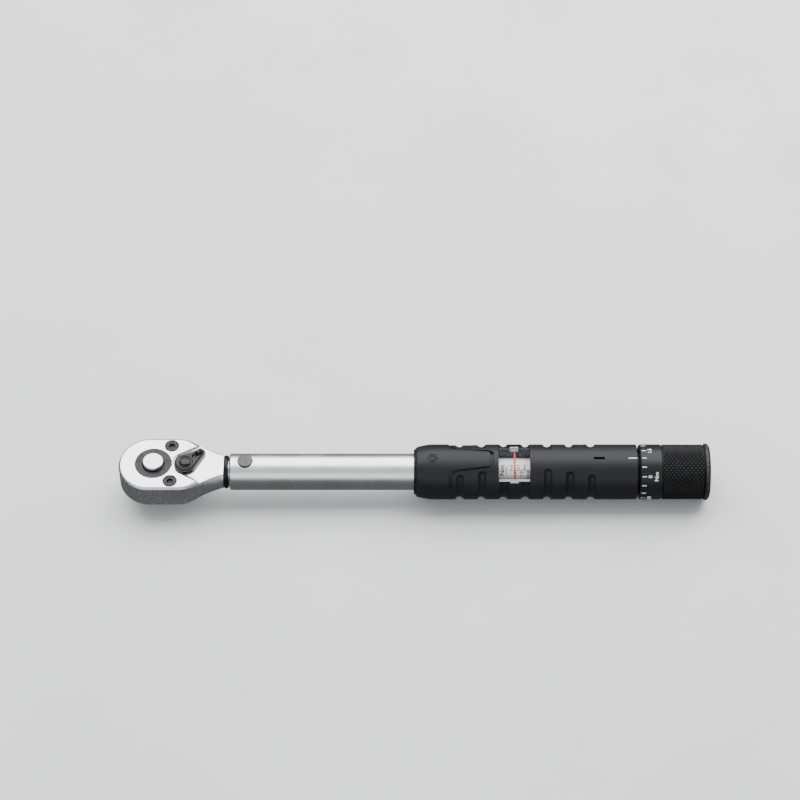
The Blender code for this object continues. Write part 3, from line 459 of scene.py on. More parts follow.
def lathe(name, profile, material=None, steps=128, axis="X", centre=(0, 0), smooth=35):
    """A turned piece. The profile is (radius, station) pairs along the X axis, or heights up a Z axis.

    A profile that starts on the axis ends on it, and any other is closed on itself.
    """
    points, rings = [], []
    for radius, station in profile:
        count = steps if radius else 1
        rings.append(range(len(points), len(points) + count))
        for i in range(count):
            x, y = radius * math.cos(math.tau * i / steps), radius * math.sin(math.tau * i / steps)
            points.append((station, -y, x) if axis == "X" else (centre[0] + x, centre[1] + y, station))
    if profile[0][0]:
        rings.append(rings[0])
    faces = []
    for near, far in zip(rings, rings[1:]):
        for i in range(steps):
            j = (i + 1) % steps
            loop = (near[i % len(near)], near[j % len(near)], far[j % len(far)], far[i % len(far)])
            faces.append(list(dict.fromkeys(loop)))
    return make(name, points, faces, material, smooth)


def prism(name, outline, low, high):
    """A flat outline in X and Y, between two heights."""
    return make(name, [(x, y, z) for z in (low, high) for x, y in outline], ring_faces(2, len(outline)))


def block(name, low, high):
    outline = [(low[0], low[1]), (high[0], low[1]), (high[0], high[1]), (low[0], high[1])]
    return prism(name, outline, low[2], high[2])


def carve(obj, cutters, operation="DIFFERENCE", smooth=35):
    """Applies a Boolean with each cutter in turn, then removes the cutters."""
    for cutter in cutters:
        modifier = obj.modifiers.new("carve", "BOOLEAN")
        modifier.operation = operation
        modifier.solver = "MANIFOLD"
        modifier.object = cutter
    bpy.context.view_layer.update()
    mesh = bpy.data.meshes.new_from_object(obj.evaluated_get(bpy.context.evaluated_depsgraph_get()))
    obj.modifiers.clear()
    old, obj.data = obj.data, mesh
    mesh.name = old.name
    bpy.data.meshes.remove(old)
    for cutter in cutters:
        bpy.data.objects.remove(cutter)
    shade(mesh, smooth)


def paint_faces_where(obj, material, test):
    """Gives another material to the faces whose middles pass a test on x, y and z in millimetres."""
    obj.data.materials.append(material)
    for face in obj.data.polygons:
        x, y, z = (c / MM for c in face.center)
        if test(x, y, z - AXIS_Z):
            face.material_index = 1


def lines_over(*stretches):
    """Grid lines from (start, end, step) stretches, each beginning where the last one ended."""
    found = []
    for start, end, step in stretches:
        count = max(1, round((end - start) / step))
        found += [start + (end - start) * i / count for i in range(count)]
    return found + [stretches[-1][1]]


def shell(name, stations, angles, outer, inner, material=None, slant=None, smooth=35):
    """A closed sleeve on a grid of stations and angles all the way round.

    outer and inner give the radius at a station and an angle. slant says how an outer cell is split in two
    triangles: 0 or 1 for its diagonal, or None to leave it whole.
    """
    rows, columns = len(stations), len(angles)
    points = [at_radius(x, a, radius(x, a)) for radius in (outer, inner) for x in stations for a in angles]

    def corner(i, j, deep=0):
        return (i + deep * rows) * columns + j % columns

    faces = []
    for i in range(rows - 1):
        for j in range(columns):
            cell = [corner(i, j), corner(i + 1, j), corner(i + 1, j + 1), corner(i, j + 1)]
            diagonal = slant(i, j) if slant else None
            if diagonal is None:
                faces.append(cell)
            elif diagonal:
                faces += [cell[:3], [cell[2], cell[3], cell[0]]]
            else:
                faces += [[cell[0], cell[1], cell[3]], cell[1:]]
            faces.append([v + rows * columns for v in cell])
    for i in (0, rows - 1):
        faces += [[corner(i, j), corner(i, j + 1), corner(i, j + 1, 1), corner(i, j, 1)]
                  for j in range(columns)]
    return make(name, points, faces, material, smooth)


def wedge(name, stations, angles, radii, material=None, count=33):
    """A block of a cylinder about the tube's axis: between two stations, two angles and two radii."""
    start, end = angles
    turns = [start + (end - start) * i / (count - 1) for i in range(count)]
    ring = [(a, radii[1]) for a in turns] + [(a, radii[0]) for a in turns[::-1]]
    total = len(ring)
    points = [at_radius(x, a, r) for x in stations for a, r in ring]
    faces = []
    for i in range(count - 1):
        strip = [i, i + 1, total - 2 - i, total - 1 - i]
        faces += [strip, [total + v for v in strip]]
    return make(name, points, faces + ring_faces(2, total, ends=False), material)


def channel(name, path, width, radii):
    """A ribbon laid on a cylinder along a path of (station, angle), this wide, between two radii."""
    low, high = radii
    flat = [Vector((x, math.radians(a) * high)) for x, a in path]
    points = []
    for i, here in enumerate(flat):
        before = (here - flat[max(i - 1, 0)]).normalized()
        after = (flat[min(i + 1, len(flat) - 1)] - here).normalized()
        along = (before + after).normalized()
        reach = width / 2 / max(0.5, abs(along.dot(before if i else after)))
        for sign, radius in ((-1, low), (1, low), (1, high), (-1, high)):
            at = here + Vector((-along.y, along.x)) * (reach * sign)
            points.append(at_radius(at.x, math.degrees(at.y / high), radius))
    return make(name, points, ring_faces(len(flat), 4))


def round_groove(name, station, start, end, width, depth):
    """Cutter for a half-round groove round the handle, with round ends."""
    wire = width / 2
    centre_r = GRIP_R + wire - depth
    reach = math.degrees(wire / centre_r)
    quarter = [math.radians(90 * k / 8) for k in range(1, 8)]
    rows = [(start - reach * math.cos(a), wire * math.sin(a)) for a in quarter]
    rows += [(start + (end - start) * i / 72, wire) for i in range(73)]
    rows += [(end + reach * math.cos(a), wire * math.sin(a)) for a in quarter[::-1]]
    sides = 20
    points = []
    for angle, r in rows:
        for i in range(sides):
            b = math.tau * i / sides
            points.append(at_radius(station + r * math.cos(b), angle, centre_r + r * math.sin(b)))
    return make(name, points, ring_faces(len(rows), sides))


def smoothstep(low, high, value):
    t = min(1.0, max(0.0, (value - low) / (high - low)))
    return t * t * (3 - 2 * t)


def arc(centre, radius, start, end, count):
    """Points along an arc, with angles in degrees and both ends included."""
    angles = [math.radians(start + (end - start) * i / (count - 1)) for i in range(count)]
    return [(centre[0] + radius * math.cos(a), centre[1] + radius * math.sin(a)) for a in angles]


def disc(name, radius, low, high, at=(0, 0), count=96):
    return prism(name, arc(at, radius, 0, 360 * (count - 1) / count, count), low, high)


# ---------------------------------------------------------------- head

HEAD_HALF = 12.2
ROUND_END_R = 12.35
WAIST = [  # half the head's width, from its parallel sides down to the neck
    (1.0, 12.2), (6.0, 12.2), (10.2, 12.16), (12.2, 11.95), (14.5, 11.1), (16.8, 10.05), (19.1, 9.0),
    (21.4, 8.2), (23.7, 7.45), (25.6, 6.75), (26.8, 6.3), (30.0, 6.3),
]
TOP_FILLET, BOTTOM_FILLET, NECK_FILLET = 1.25, 1.0, 5.0
RECESS_FLOOR = 4.3
SCREW_SPOTS = [((low.x + high.x) / 2, (low.y + high.y) / 2) for low, high in SCREWS]
PLATE_TOP = -4.0


def curve_through(knots, x):
    """A smooth value between knots that never overshoots them (monotone cubic)."""
    i = min(sum(x > knot[0] for knot in knots[1:]), len(knots) - 2)
    slopes = [(b[1] - a[1]) / (b[0] - a[0]) for a, b in zip(knots, knots[1:])]

    def tangent(k):
        if k in (0, len(knots) - 1) or slopes[k - 1] * slopes[k] <= 0:
            return 0.0
        return 2 * slopes[k - 1] * slopes[k] / (slopes[k - 1] + slopes[k])

    (x0, y0), (x1, y1) = knots[i], knots[i + 1]
    h = x1 - x0
    t = (x - x0) / h
    return ((2 * t ** 3 - 3 * t ** 2 + 1) * y0 + (t ** 3 - 2 * t ** 2 + t) * h * tangent(i)
            + (-2 * t ** 3 + 3 * t ** 2) * y1 + (t ** 3 - t ** 2) * h * tangent(i + 1))


def head_outline():
    """The head's outline, from its round end along the +Y side to past the neck and back."""
    centre = HEAD_END + ROUND_END_R
    side = []
    for i in range(1, 33):
        a = math.radians(2.6 * i)
        side.append((centre - ROUND_END_R * math.cos(a), min(HEAD_HALF, ROUND_END_R * math.sin(a))))
    start, end, count = WAIST[0][0], WAIST[-1][0] - 0.1, 57
    for i in range(count + 1):
        x = start + (end - start) * i / count
        side.append((x, curve_through(WAIST, x)))
    return [(HEAD_END, 0.0)] + side + [(x, -y) for x, y in side[::-1]]


def head_shell():
    """The forged head as rings stacked upward: the outline drawn in over the bottom and top fillets."""
    outline = head_outline()
    count = len(outline)
    normals = []
    for i, (x, y) in enumerate(outline):
        along = Vector(outline[(i + 1) % count]) - Vector(outline[i - 1])
        outward = (0, math.copysign(1, y)) if x > WAIST[-1][0] - 0.5 else (-along.y, along.x)
        normals.append(Vector(outward).normalized())
    steps = 10
    rows = [(-1, s / steps) for s in range(steps, -1, -1)] + [(1, s / steps) for s in range(steps + 1)]
    points = []
    for side, share in rows:
        limit, fillet = (HEAD_TOP, TOP_FILLET) if side > 0 else (-HEAD_BOTTOM, BOTTOM_FILLET)
        angle = math.radians(90 * share)
        for (x, y), n in zip(outline, normals):
            grow = smoothstep(11.0, 25.5, x)
            radius = fillet * (1 - grow) + NECK_FILLET * grow
            inset = radius * (1 - math.cos(angle))
            height = limit - radius + radius * math.sin(angle)
            points.append((x - n.x * inset, y - n.y * inset, side * height))
    return make("head_forging", points, ring_faces(len(rows), count))


DECK_SLOPE = 29  # degrees that each wall of the lever's deck opens out by
DECK_R = 5.3  # of the deck's round, about the lever's pivot
DECK_REAR = 28.0
DECK_ROUND = arc((LEVER_X, 0), DECK_R, 90 + DECK_SLOPE, 270 - DECK_SLOPE, 33)
WALL_START = DECK_ROUND[0]
LINE_DEPTH = 0.55


def wall_at(x):
    """The +Y wall's distance from the middle plane at a station."""
    return WALL_START[1] + (x - WALL_START[0]) * math.tan(math.radians(DECK_SLOPE))


def lowered_deck():
    """Cutter for the deck that the lever sweeps over: round at its pivot, opening out to the neck's end."""
    corners = [(DECK_REAR, side * wall_at(DECK_REAR)) for side in (1, -1)]
    return prism("cut_deck", [corners[0]] + DECK_ROUND + [corners[1]], RECESS_FLOOR, HEAD_TOP + 3)


def deck_line():
    """Cutter for a groove at the foot of the deck's -Y wall, widest towards the pivot, whose faces are
    painted dark as the shade line there.
    """
    start = Vector(WALL_START)
    along = Vector((math.cos(math.radians(DECK_SLOPE)), math.sin(math.radians(DECK_SLOPE))))
    inward = Vector((along.y, -along.x))
    corners = [start + along * far + inward * deep
               for far, deep in ((1.6, 0), (9.2, 0), (9.2, 0.4), (6.2, 1.22), (1.6, 1.36))]
    outline = [(c.x, -c.y) for c in corners]
    return prism("cut_deck_line", outline, RECESS_FLOOR - LINE_DEPTH, RECESS_FLOOR + 0.3)


def in_deck_line(x, y, z):
    """Whether a face's middle lies in the groove at the wall's foot, which is painted dark as shade."""
    below = RECESS_FLOOR - LINE_DEPTH - 0.05 < z < RECESS_FLOOR - 0.02
    return below and 9.5 < x < 17.6 and 3.5 < -y < wall_at(x) + 0.1


def build_head():
    """The forging with its neck, the arm inside the tube and everything milled or drilled in it."""
    head = head_shell()
    carve(head, [block("cut_neck_end", (NECK_END, -20, -20), (40, 20, 20))])
    throat = lathe("throat", filleted([(0, 20.0), (4.6, 20.0), (4.6, 30.8, 0.3), (0, 30.8)]), steps=64)
    arm = block("arm", (24.0, -3.5, -2.8), (59.6, 3.5, 2.8))
    carve(head, [throat, arm, disc("eye", 4.7, -3.0, 3.0, (PIN_X, 0), 64)], "UNION")
    cutters = [
        lowered_deck(),
        deck_line(),
        disc("cut_hub", RETAINER_R + 0.12, 2.5, 9),
        disc("cut_cavity", 8.15, -5.3, 3.2),
        disc("cut_seat", 11.05, HEAD_BOTTOM - 1, PLATE_TOP),
        disc("cut_stem", 3.2, 2.0, 6.0, (LEVER_X, 0), 48),
        disc("cut_eye", 3.05, -9, 9, (PIN_X, 0), 48),
    ]
    for spot in SCREW_SPOTS:
        cutters += [disc("cut_countersink", 2.78, 4.1, 9, spot, 48), disc("cut_screw", 1.4, -6, 5, spot, 24)]
    carve(head, cutters, smooth=32)
    paint(head, forged_chrome())
    # painted shade: the groove's faces are coloured dark as the shade line at the foot of the deck's wall
    paint_faces_where(head, black_steel("deck_line_painted_shade"), in_deck_line)
    flat = head.modifiers.new("flat_faces_shade_flat", "WEIGHTED_NORMAL")
    flat.keep_sharp = True
    flat.weight = 80
    fit(head, "head", "satin_chrome", "head_body")


def build_hub_ring():
    """The dark ring round the button."""
    low, high = 4.5, RETAINER[1].z - AXIS_Z
    profile = filleted([(4.2, low), (4.2, high, 0.15), (RETAINER_R, high, 0.18), (RETAINER_R, low)])
    dark = ground_steel("hub_ring_dark_steel", (0.055, 0.054, 0.057), roughness=0.4)
    fit(lathe("hub_ring", profile, dark, 160, "Z"), "drive", "black_steel", "button_retainer")


def build_button():
    low, high = BUTTON[0].z - AXIS_Z, BUTTON[1].z - AXIS_Z
    profile = filleted([
        (0, high), (4.0, high, 0.55), (4.0, 3.4, 0.3), (3.4, 3.2),
        (1.85, 3.0), (1.85, low + 0.6, 0.3), (1.2, low, 0.2), (0, low),
    ])
    steel = polished_steel("button_satin_steel", low=0.16, high=0.24)
    fit(lathe("release_button_cap", profile, steel, 96, "Z"), "button", "satin_chrome", "release_button")


STAR_R = 1.42
STAR_TURNS = (12, 40)  # degrees


def build_head_screw(number):
    low, high = SCREWS[number]
    spot = SCREW_SPOTS[number]
    top, bottom = high.z - AXIS_Z, low.z - AXIS_Z
    radius = (high.x - low.x) / 2
    shank = 1.2
    name = f"head_screw_{number + 1}"
    profile = filleted([
        (0, top), (radius - 0.3, top, 0.2), (radius, top - 0.35, 0.2), (radius, top - 1.1, 0.1),
        (shank, top - 1.15), (shank, bottom, 0.2), (0, bottom),
    ])
    screw = lathe(f"star_screw_{number + 1}", profile, None, 72, "Z", spot)
    star = []
    for i in range(60):
        a = math.tau * i / 60
        lobe = STAR_R * (0.86 + 0.14 * math.cos(6 * a))
        a += math.radians(STAR_TURNS[number])
        star.append((spot[0] + lobe * math.cos(a), spot[1] + lobe * math.sin(a)))
    carve(screw, [prism("cut_star", star, top - 0.9, top + 1)], smooth=30)
    paint(screw, black_steel(f"{name}_black", (0.030, 0.028, 0.027), 0.38, worn=0.6, metallic=0.5))
    fit(screw, "head", "black_steel", name)


LEVER_TURN = math.radians(42)
LEVER_REACH = 8.0  # from the hub's middle to the tip's
LEVER_HUB_R = 4.3
LEVER_TIP_R = 1.55
LEVER_MIDDLE = 2.6  # the point in the teardrop that its rings shrink towards
LEVER_LOW = 4.6
LEVER_FLAT = 6.2


def teardrop_inset(x, y):
    """How far inside the lever's teardrop outline a point lies, along its own axis (x towards the tip)."""
    narrowing = (LEVER_HUB_R - LEVER_TIP_R) / LEVER_REACH
    slope = math.sqrt(1 - narrowing * narrowing)
    along = x * slope - abs(y) * narrowing
    if along <= 0:
        return LEVER_HUB_R - math.hypot(x, y)
    if along >= LEVER_REACH * slope:
        return LEVER_TIP_R - math.hypot(x - LEVER_REACH, y)
    return LEVER_HUB_R - (x * narrowing + abs(y) * slope)


def lever_height(x, y):
    """The lever's top: a lower flange, a domed hub in a dished ring, a pocket and a raised thumb pad."""
    inside = max(0.0, teardrop_inset(x, y))
    hub = math.hypot(x, y)
    rounded_rim = 0.25 * (1 - math.sqrt(max(0.0, 1 - (1 - min(1.0, inside / 0.25)) ** 2)))
    flange = 0.62 * (1 - smoothstep(0.5, 0.82, inside))
    dish = 0.24 * smoothstep(1.9, 2.3, hub) * (1 - smoothstep(2.6, 3.2, hub)) * smoothstep(0.8, 1.2, inside)
    top = LEVER_FLAT - rounded_rim - flange - dish
    if hub < 2.2:
        top = max(top, LEVER_FLAT + 0.85 * math.sqrt(max(0.0, 1 - (hub / 2.2) ** 2)) - 0.05)
    from_pad = math.hypot(max(0.0, abs(x - 7.15) - 1.05), max(0.0, abs(y) - 0.35 - 0.10 * (9.0 - x)))
    pad = 1.25 * (1 - smoothstep(0.1, 0.62, from_pad))
    thumb_hollow = 0.32 * (1 - smoothstep(0.0, 0.75, math.hypot((x - 7.2) / 1.9, y / 0.8)))
    pocket = 0.62 * (1 - smoothstep(0.35, 1.0, math.hypot((x - 4.55) / 1.15, y / 1.1)))
    return top - pocket + max(0.0, pad - thumb_hollow)


def teardrop_rim(around):
    """Points on the lever's outline, found by halving along rays from its middle."""
    rim = []
    for i in range(around):
        c, s = math.cos(math.tau * i / around), math.sin(math.tau * i / around)
        low, high = 0.0, 20.0
        for _ in range(40):
            mid = (low + high) / 2
            if teardrop_inset(LEVER_MIDDLE + mid * c, mid * s) > 0:
                low = mid
            else:
                high = mid
        rim.append((low * c, low * s))
    return rim


def build_lever():
    """The direction lever: a height field inside a teardrop, with a flat underside and a stem."""
    rings, around = 44, 144
    rim = teardrop_rim(around)
    points = [(LEVER_MIDDLE, 0.0, lever_height(LEVER_MIDDLE, 0.0))]
    for r in range(1, rings + 1):
        share = 1 - (1 - r / rings) ** 1.5
        for x, y in rim:
            at = (LEVER_MIDDLE + x * share, y * share)
            points.append((*at, lever_height(*at)))
    for share, height in ((1, LEVER_LOW + 0.15), (0.97, LEVER_LOW)):
        points += [(LEVER_MIDDLE + x * share, y * share, height) for x, y in rim]
    last = 1 + (rings + 1) * around
    faces = [[0, 1 + i, 1 + (i + 1) % around] for i in range(around)]
    faces += ring_faces(rings + 2, around, first=1, ends=False) + [list(range(last, last + around))]
    c, s = math.cos(LEVER_TURN), math.sin(LEVER_TURN)
    points = [(LEVER_X + x * c - y * s, x * s + y * c, z) for x, y, z in points]
    lever = make("direction_lever", points, faces)
    low = LEVER[0].z - AXIS_Z
    stem = filleted([(0, low), (2.5, low, 0.3), (2.5, 5.0), (0, 5.0)])
    carve(lever, [lathe("stem", stem, None, 48, "Z", (LEVER_X, 0))], "UNION", 40)
    gloss = black_steel("direction_lever_gloss_black", (0.007, 0.007, 0.007), 0.17, worn=0.3, metallic=0.0)
    paint(lever, gloss)
    fit(lever, "lever", "black_steel", "reverse_lever")


# ---------------------------------------------------------------- neck seal, tube, pivot pin


def build_neck_seal():
    """A rubber ring with a rounded-square section."""
    middle, width = (SEAL[0].x + SEAL[1].x) / 2, half(SEAL, "x")
    inner, outer = 4.95, half(SEAL)
    squareness = 0.75
    section = []
    for i in range(24):
        c, s = math.cos(math.tau * i / 24), math.sin(math.tau * i / 24)
        across, along = (math.copysign(abs(v) ** squareness, v) for v in (c, s))
        section.append(((outer + inner) / 2 + (outer - inner) / 2 * across, middle + width * along))
    seal = lathe("neck_o_ring", section, rubber("neck_rubber"), 96, smooth=60)
    fit(seal, "head", "black_rubber", "neck_seal")


def build_tube():
    chamfer = 0.62
    profile = filleted([
        (BORE_R, TUBE_FRONT + 0.15), (BORE_R + 0.15, TUBE_FRONT, 0.05), (TUBE_R - chamfer, TUBE_FRONT, 0.12),
        (TUBE_R, TUBE_FRONT + chamfer, 0.25), (TUBE_R, TUBE_REAR - 0.3, 0.1), (TUBE_R - 0.3, TUBE_REAR, 0.1),
        (BORE_R, TUBE_REAR),
    ])
    tube = lathe("tube_body", profile, steps=160)
    slot_stations, slot_half = (130.8, 144.9), 64
    carve(tube, [
        disc("cut_pin", 2.98, -12, 12, (PIN_X, 0), 64),
        wedge("cut_window", slot_stations, (WINDOW_CLOCK - slot_half, WINDOW_CLOCK + slot_half), (3.5, 9.0)),
        block("cut_keyway", (116.1, -1.15, -9), (129.7, 1.15, -4.0)),
        wedge("cut_key", KEY_HOLE, (GRIP_CLOCK - 5.5, GRIP_CLOCK + 5.5), (5.0, 8.0)),
    ])
    paint(tube, brushed_tube())
    # the bore and the walls cut through the tube are coloured dark
    paint_faces_where(tube, black_steel("tube_bore_darkened"),
                  lambda x, y, z: x > TUBE_FRONT + 2 and math.hypot(y, z) < TUBE_R - 0.1)
    fit(tube, "barrel", "satin_chrome", "tube")


def build_pivot_pin():
    reach, radius = half(PIN, "z"), half(PIN, "x")
    steel = ground_steel("pivot_pin_ground_steel", (0.115, 0.113, 0.113), (PIN_X, 0), 0.42)
    profile = filleted([(0, reach), (radius, reach, 0.28), (radius, -reach, 0.28), (0, -reach)])
    fit(lathe("pivot_pin_ends", profile, steel, 72, "Z", (PIN_X, 0)), "barrel", "bare_steel", "pivot_pin")


# ---------------------------------------------------------------- handle

GROOVE_ENDS = (43, 36, 53, 52, 31, 37, 43)  # degrees from the handle's top to each groove's end
GROOVE_FIRST = 117.1
GROOVE_PITCH = 8.37
COLLAR_END = 112.9
EMBLEM_X = 106.6
NOSE_END = 106.6
TONGUE_ROOT = 116.6
TONGUE_END = 128.9
TIP_HALF = 19.3
ROOT_HALF = 26.8


def tongue_half(x):
    """Half the tongue's angle at a station: it narrows in a straight taper from its root to its tip."""
    share = (x - TONGUE_ROOT) / (TONGUE_END - TONGUE_ROOT)
    return ROOT_HALF + (TIP_HALF - ROOT_HALF) * min(1.0, max(0.0, share))


def grip_radius(x, angle):
    """The handle's surface: rounded ends, and side panels let in beside the tongue."""
    nose_r = 9.3
    radius = nose_r + (GRIP_R - nose_r) * min(1.0, smoothstep(GRIP_FRONT - 0.4, NOSE_END, x) ** 0.6)
    radius -= 0.55 * smoothstep(GRIP_FRONT + 0.55, GRIP_FRONT, x)
    radius -= 0.3 * smoothstep(GRIP_REAR - 0.35, GRIP_REAR, x) ** 2
    turn = abs((angle - GRIP_CLOCK + 180) % 360 - 180)
    panel = smoothstep(tongue_half(x) - 0.3, tongue_half(x) + 0.6, turn) * (1 - smoothstep(60, 100, turn))
    panel *= smoothstep(COLLAR_END - 0.1, COLLAR_END + 0.25, x) * (1 - smoothstep(120, 130, x))
    return radius - 0.32 * panel


def grip_bore(x, angle):
    """The handle's bore at a station: a seat for the seal, the tube's bore and a counterbore at the rear."""
    for end, radius in ((101.6, 8.85), (101.7, 8.0), (183.0, 7.2)):
        if x < end:
            return radius
    return 8.9


def tongue_path():
    """The line round the tongue, from the collar up one side, across its tip and back."""
    foot = COLLAR_END + 0.75
    bend = [(foot + 3.0 * (1 - math.cos(a)), ROOT_HALF + 18.0 - 17.2 * math.sin(a))
            for a in (math.radians(15 * k) for k in range(6))]
    side = [(x, tongue_half(x)) for x in lines_over((TONGUE_ROOT, TONGUE_END - 0.8, 1.5))]
    corner = [(TONGUE_END - 0.15, TIP_HALF - 1.4), (TONGUE_END, TIP_HALF - 4.5), (TONGUE_END, 4.0)]
    path = [(foot, ROOT_HALF + 38), (foot, ROOT_HALF + 24)] + bend + side + corner
    return [(x, GRIP_CLOCK - a) for x, a in path] + [(x, GRIP_CLOCK + a) for x, a in path[::-1]]


def emblem_outline(radius, sides):
    """A closed polygon on the handle near its front, as (station, angle)."""
    turns = [math.tau * i / sides for i in range(sides + 1)]
    spots = [(radius * math.cos(a), radius * math.sin(a) / GRIP_R) for a in turns]
    return [(EMBLEM_X + along, GRIP_CLOCK + math.degrees(turn)) for along, turn in spots]


def build_grip():
    """The moulded handle with its window, tongue, finger grooves, key slot and a hexagon nut's outline."""
    stations = lines_over(
        (GRIP_FRONT, GRIP_FRONT + 0.6, 0.15), (GRIP_FRONT + 0.6, 107.0, 0.7),
        (107.0, COLLAR_END - 0.1, 2.0), (COLLAR_END - 0.1, COLLAR_END + 0.4, 0.1),
        (COLLAR_END + 0.4, 131.0, 1.0), (131.0, GRIP_REAR - 0.4, 6.0), (GRIP_REAR - 0.4, GRIP_REAR, 0.1),
    )
    angles = [360 * i / 240 for i in range(240)]
    grip = shell("handle", stations, angles, grip_radius, grip_bore)
    low, high = WINDOW_CLOCK - WINDOW_HALF - 0.8, WINDOW_CLOCK + WINDOW_HALF + 0.8
    tip = TIP_HALF - 2.2
    past = GRIP_R + 1
    through = (5.0, 12.0)
    cutters = [
        channel("cut_tongue", tongue_path(), 0.85, (GRIP_R - 0.95, past)),
        wedge("cut_tongue_tip", (TONGUE_END - 0.35, TONGUE_END + 1.0), (GRIP_CLOCK - tip, GRIP_CLOCK + tip),
              (GRIP_R - 1.0, past), count=13),
        wedge("cut_opening", (WINDOW_FRONT - 0.15, WINDOW_REAR + 0.15), (low, high), through),
        wedge("cut_tab_seats", (WINDOW_MIDDLE - 1.7, WINDOW_MIDDLE + 1.7), (low - 4, high + 4), through),
        wedge("cut_pocket", (WINDOW_FRONT + 0.1, WINDOW_REAR - 0.1), (low - 15.5, low + 2), (9.25, 12.0)),
        wedge("cut_key_slot", KEY_SLOT, (GRIP_CLOCK - 2.9, GRIP_CLOCK + 2.9), (6.0, 12.0), count=9),
    ]
    for radius, sides in ((1.9, 6), (0.95, 24)):
        outline = emblem_outline(radius, sides)
        cutters.append(channel("cut_emblem", outline, 0.36, (GRIP_R - 0.28, GRIP_R + 0.6)))
    for number, end in enumerate(GROOVE_ENDS):
        at = GROOVE_FIRST + GROOVE_PITCH * number
        cutters.append(round_groove("cut_finger", at, GRIP_CLOCK + end, GRIP_CLOCK + 360 - end, 3.5, 1.05))
    carve(grip, cutters, smooth=32)
    paint(grip, moulded_plastic("handle_satin_plastic"))
    fit(grip, "barrel", "black_plastic", "handle_grip")


def build_index_line():
    turn = math.degrees(0.2 / GRIP_R)
    line = wedge("index_line", (181.3, GRIP_REAR - 0.35), (GRIP_CLOCK - turn, GRIP_CLOCK + turn),
                 (GRIP_R - 0.2, GRIP_R + 0.015), ink("index_white_paint", (0.82, 0.82, 0.80)), 5)
    fit(line, "barrel", "white_scale")


def build_grip_seal():
    profile = filleted([
        (7.2, 99.7), (7.4, 99.6, 0.1), (8.5, 99.6, 0.3), (8.7, 100.0, 0.2), (8.7, 101.5, 0.1), (7.2, 101.5),
    ])
    seal = lathe("grip_seal_ring", profile, rubber("grip_seal_rubber"), 96)
    fit(seal, "barrel", "black_rubber", "grip_seal")


# ---------------------------------------------------------------- scale window


def build_lens():
    """The clear pane with its tabs, rounded along its edges."""
    low, high = WINDOW_CLOCK - WINDOW_HALF, WINDOW_CLOCK + WINDOW_HALF
    outer = GRIP_R - 0.1
    pane = wedge("window_pane", (WINDOW_FRONT, WINDOW_REAR), (low, high), (8.75, outer), count=49)
    tabs = wedge("tabs", (WINDOW_MIDDLE - 1.55, WINDOW_MIDDLE + 1.55), (low - 4, high + 4),
                 (8.85, outer - 0.05), count=49)
    carve(pane, [tabs], "UNION", 30)
    soften = pane.modifiers.new("edges", "BEVEL")
    soften.width = 0.18 * MM
    soften.segments = 2
    soften.limit_method = "ANGLE"
    soften.angle_limit = math.radians(40)
    carve(pane, [], smooth=40)
    paint(pane, clear_lens())
    fit(pane, "barrel", "clear_acrylic", "window_lens")


def build_hairline():
    low, high = WINDOW_CLOCK - WINDOW_HALF + 1, WINDOW_CLOCK + WINDOW_HALF - 1
    red = ink("hairline_red_paint", (0.50, 0.004, 0.025))
    line = wedge("hairline", (HAIRLINE_X - 0.3, HAIRLINE_X + 0.3), (low, high), (8.66, 8.74), red, 25)
    fit(line, "barrel", "white_scale")


TURN_VALUE = 1.8  # newton metres for one turn of the knob
THREAD_PITCH = 1.25
READING = 3.4  # newton metres, as the wrench is set at rest


def scale_station(value):
    """Where a torque value's line lies on the sleeve, with the wrench set as it is at rest."""
    return HAIRLINE_X + (value - READING) / TURN_VALUE * THREAD_PITCH


def build_scale_sleeve():
    bore = 4.75
    profile = filleted([
        (bore, SLEEVE_FRONT), (SLEEVE_R, SLEEVE_FRONT, 0.15),
        (SLEEVE_R, SLEEVE_REAR, 0.15), (bore, SLEEVE_REAR),
    ])
    fit(lathe("scale_drum", profile, scale_white(), 96), "carriage", "white_scale", "scale_sleeve")


CAPITAL_HEIGHT = 0.71  # of a letter, as a share of its font's size
LETTER_STRETCH = 1.12
PRINT_SUNK = 0.05  # how far printed pieces reach under the surface they lie on


def flat_text(text, size):
    """The outlines of a short text, as a flat mesh's points and faces, in millimetres."""
    curve = bpy.data.curves.new("text", "FONT")
    curve.body = text
    curve.size = size
    curve.offset = 0.016 * size
    curve.extrude = 0.02
    curve.resolution_u = 3
    obj = bpy.data.objects.new("text", curve)
    bpy.context.scene.collection.objects.link(obj)
    bpy.context.view_layer.update()
    mesh = bpy.data.meshes.new_from_object(obj.evaluated_get(bpy.context.evaluated_depsgraph_get()))
    points = [tuple(v.co) for v in mesh.vertices]
    faces = [list(f.vertices) for f in mesh.polygons]
    bpy.data.objects.remove(obj)
    bpy.data.curves.remove(curve)
    bpy.data.meshes.remove(mesh)
    return points, faces


def printed(name, marks, radius, material):
    """Text wrapped onto a cylinder as one piece. It reads towards smaller angles, its tops towards the head.

    Each mark is (text, height, station of its feet, angle of its middle).
    """
    raised = 0.045
    points, faces = [], []
    for text, height, station, angle in marks:
        flat, loops = flat_text(text, height / CAPITAL_HEIGHT)
        flat = [(LETTER_STRETCH * gx, gy, gz) for gx, gy, gz in flat]
        middle = (min(p[0] for p in flat) + max(p[0] for p in flat)) / 2
        first = len(points)
        for gx, gy, gz in flat:
            turn = angle - math.degrees((gx - middle) / radius)
            points.append(at_radius(station - gy, turn, radius + (raised if gz > 0 else -PRINT_SUNK)))
        faces += [[first + v for v in loop] for loop in loops]
    return make(name, points, faces, material, 30)


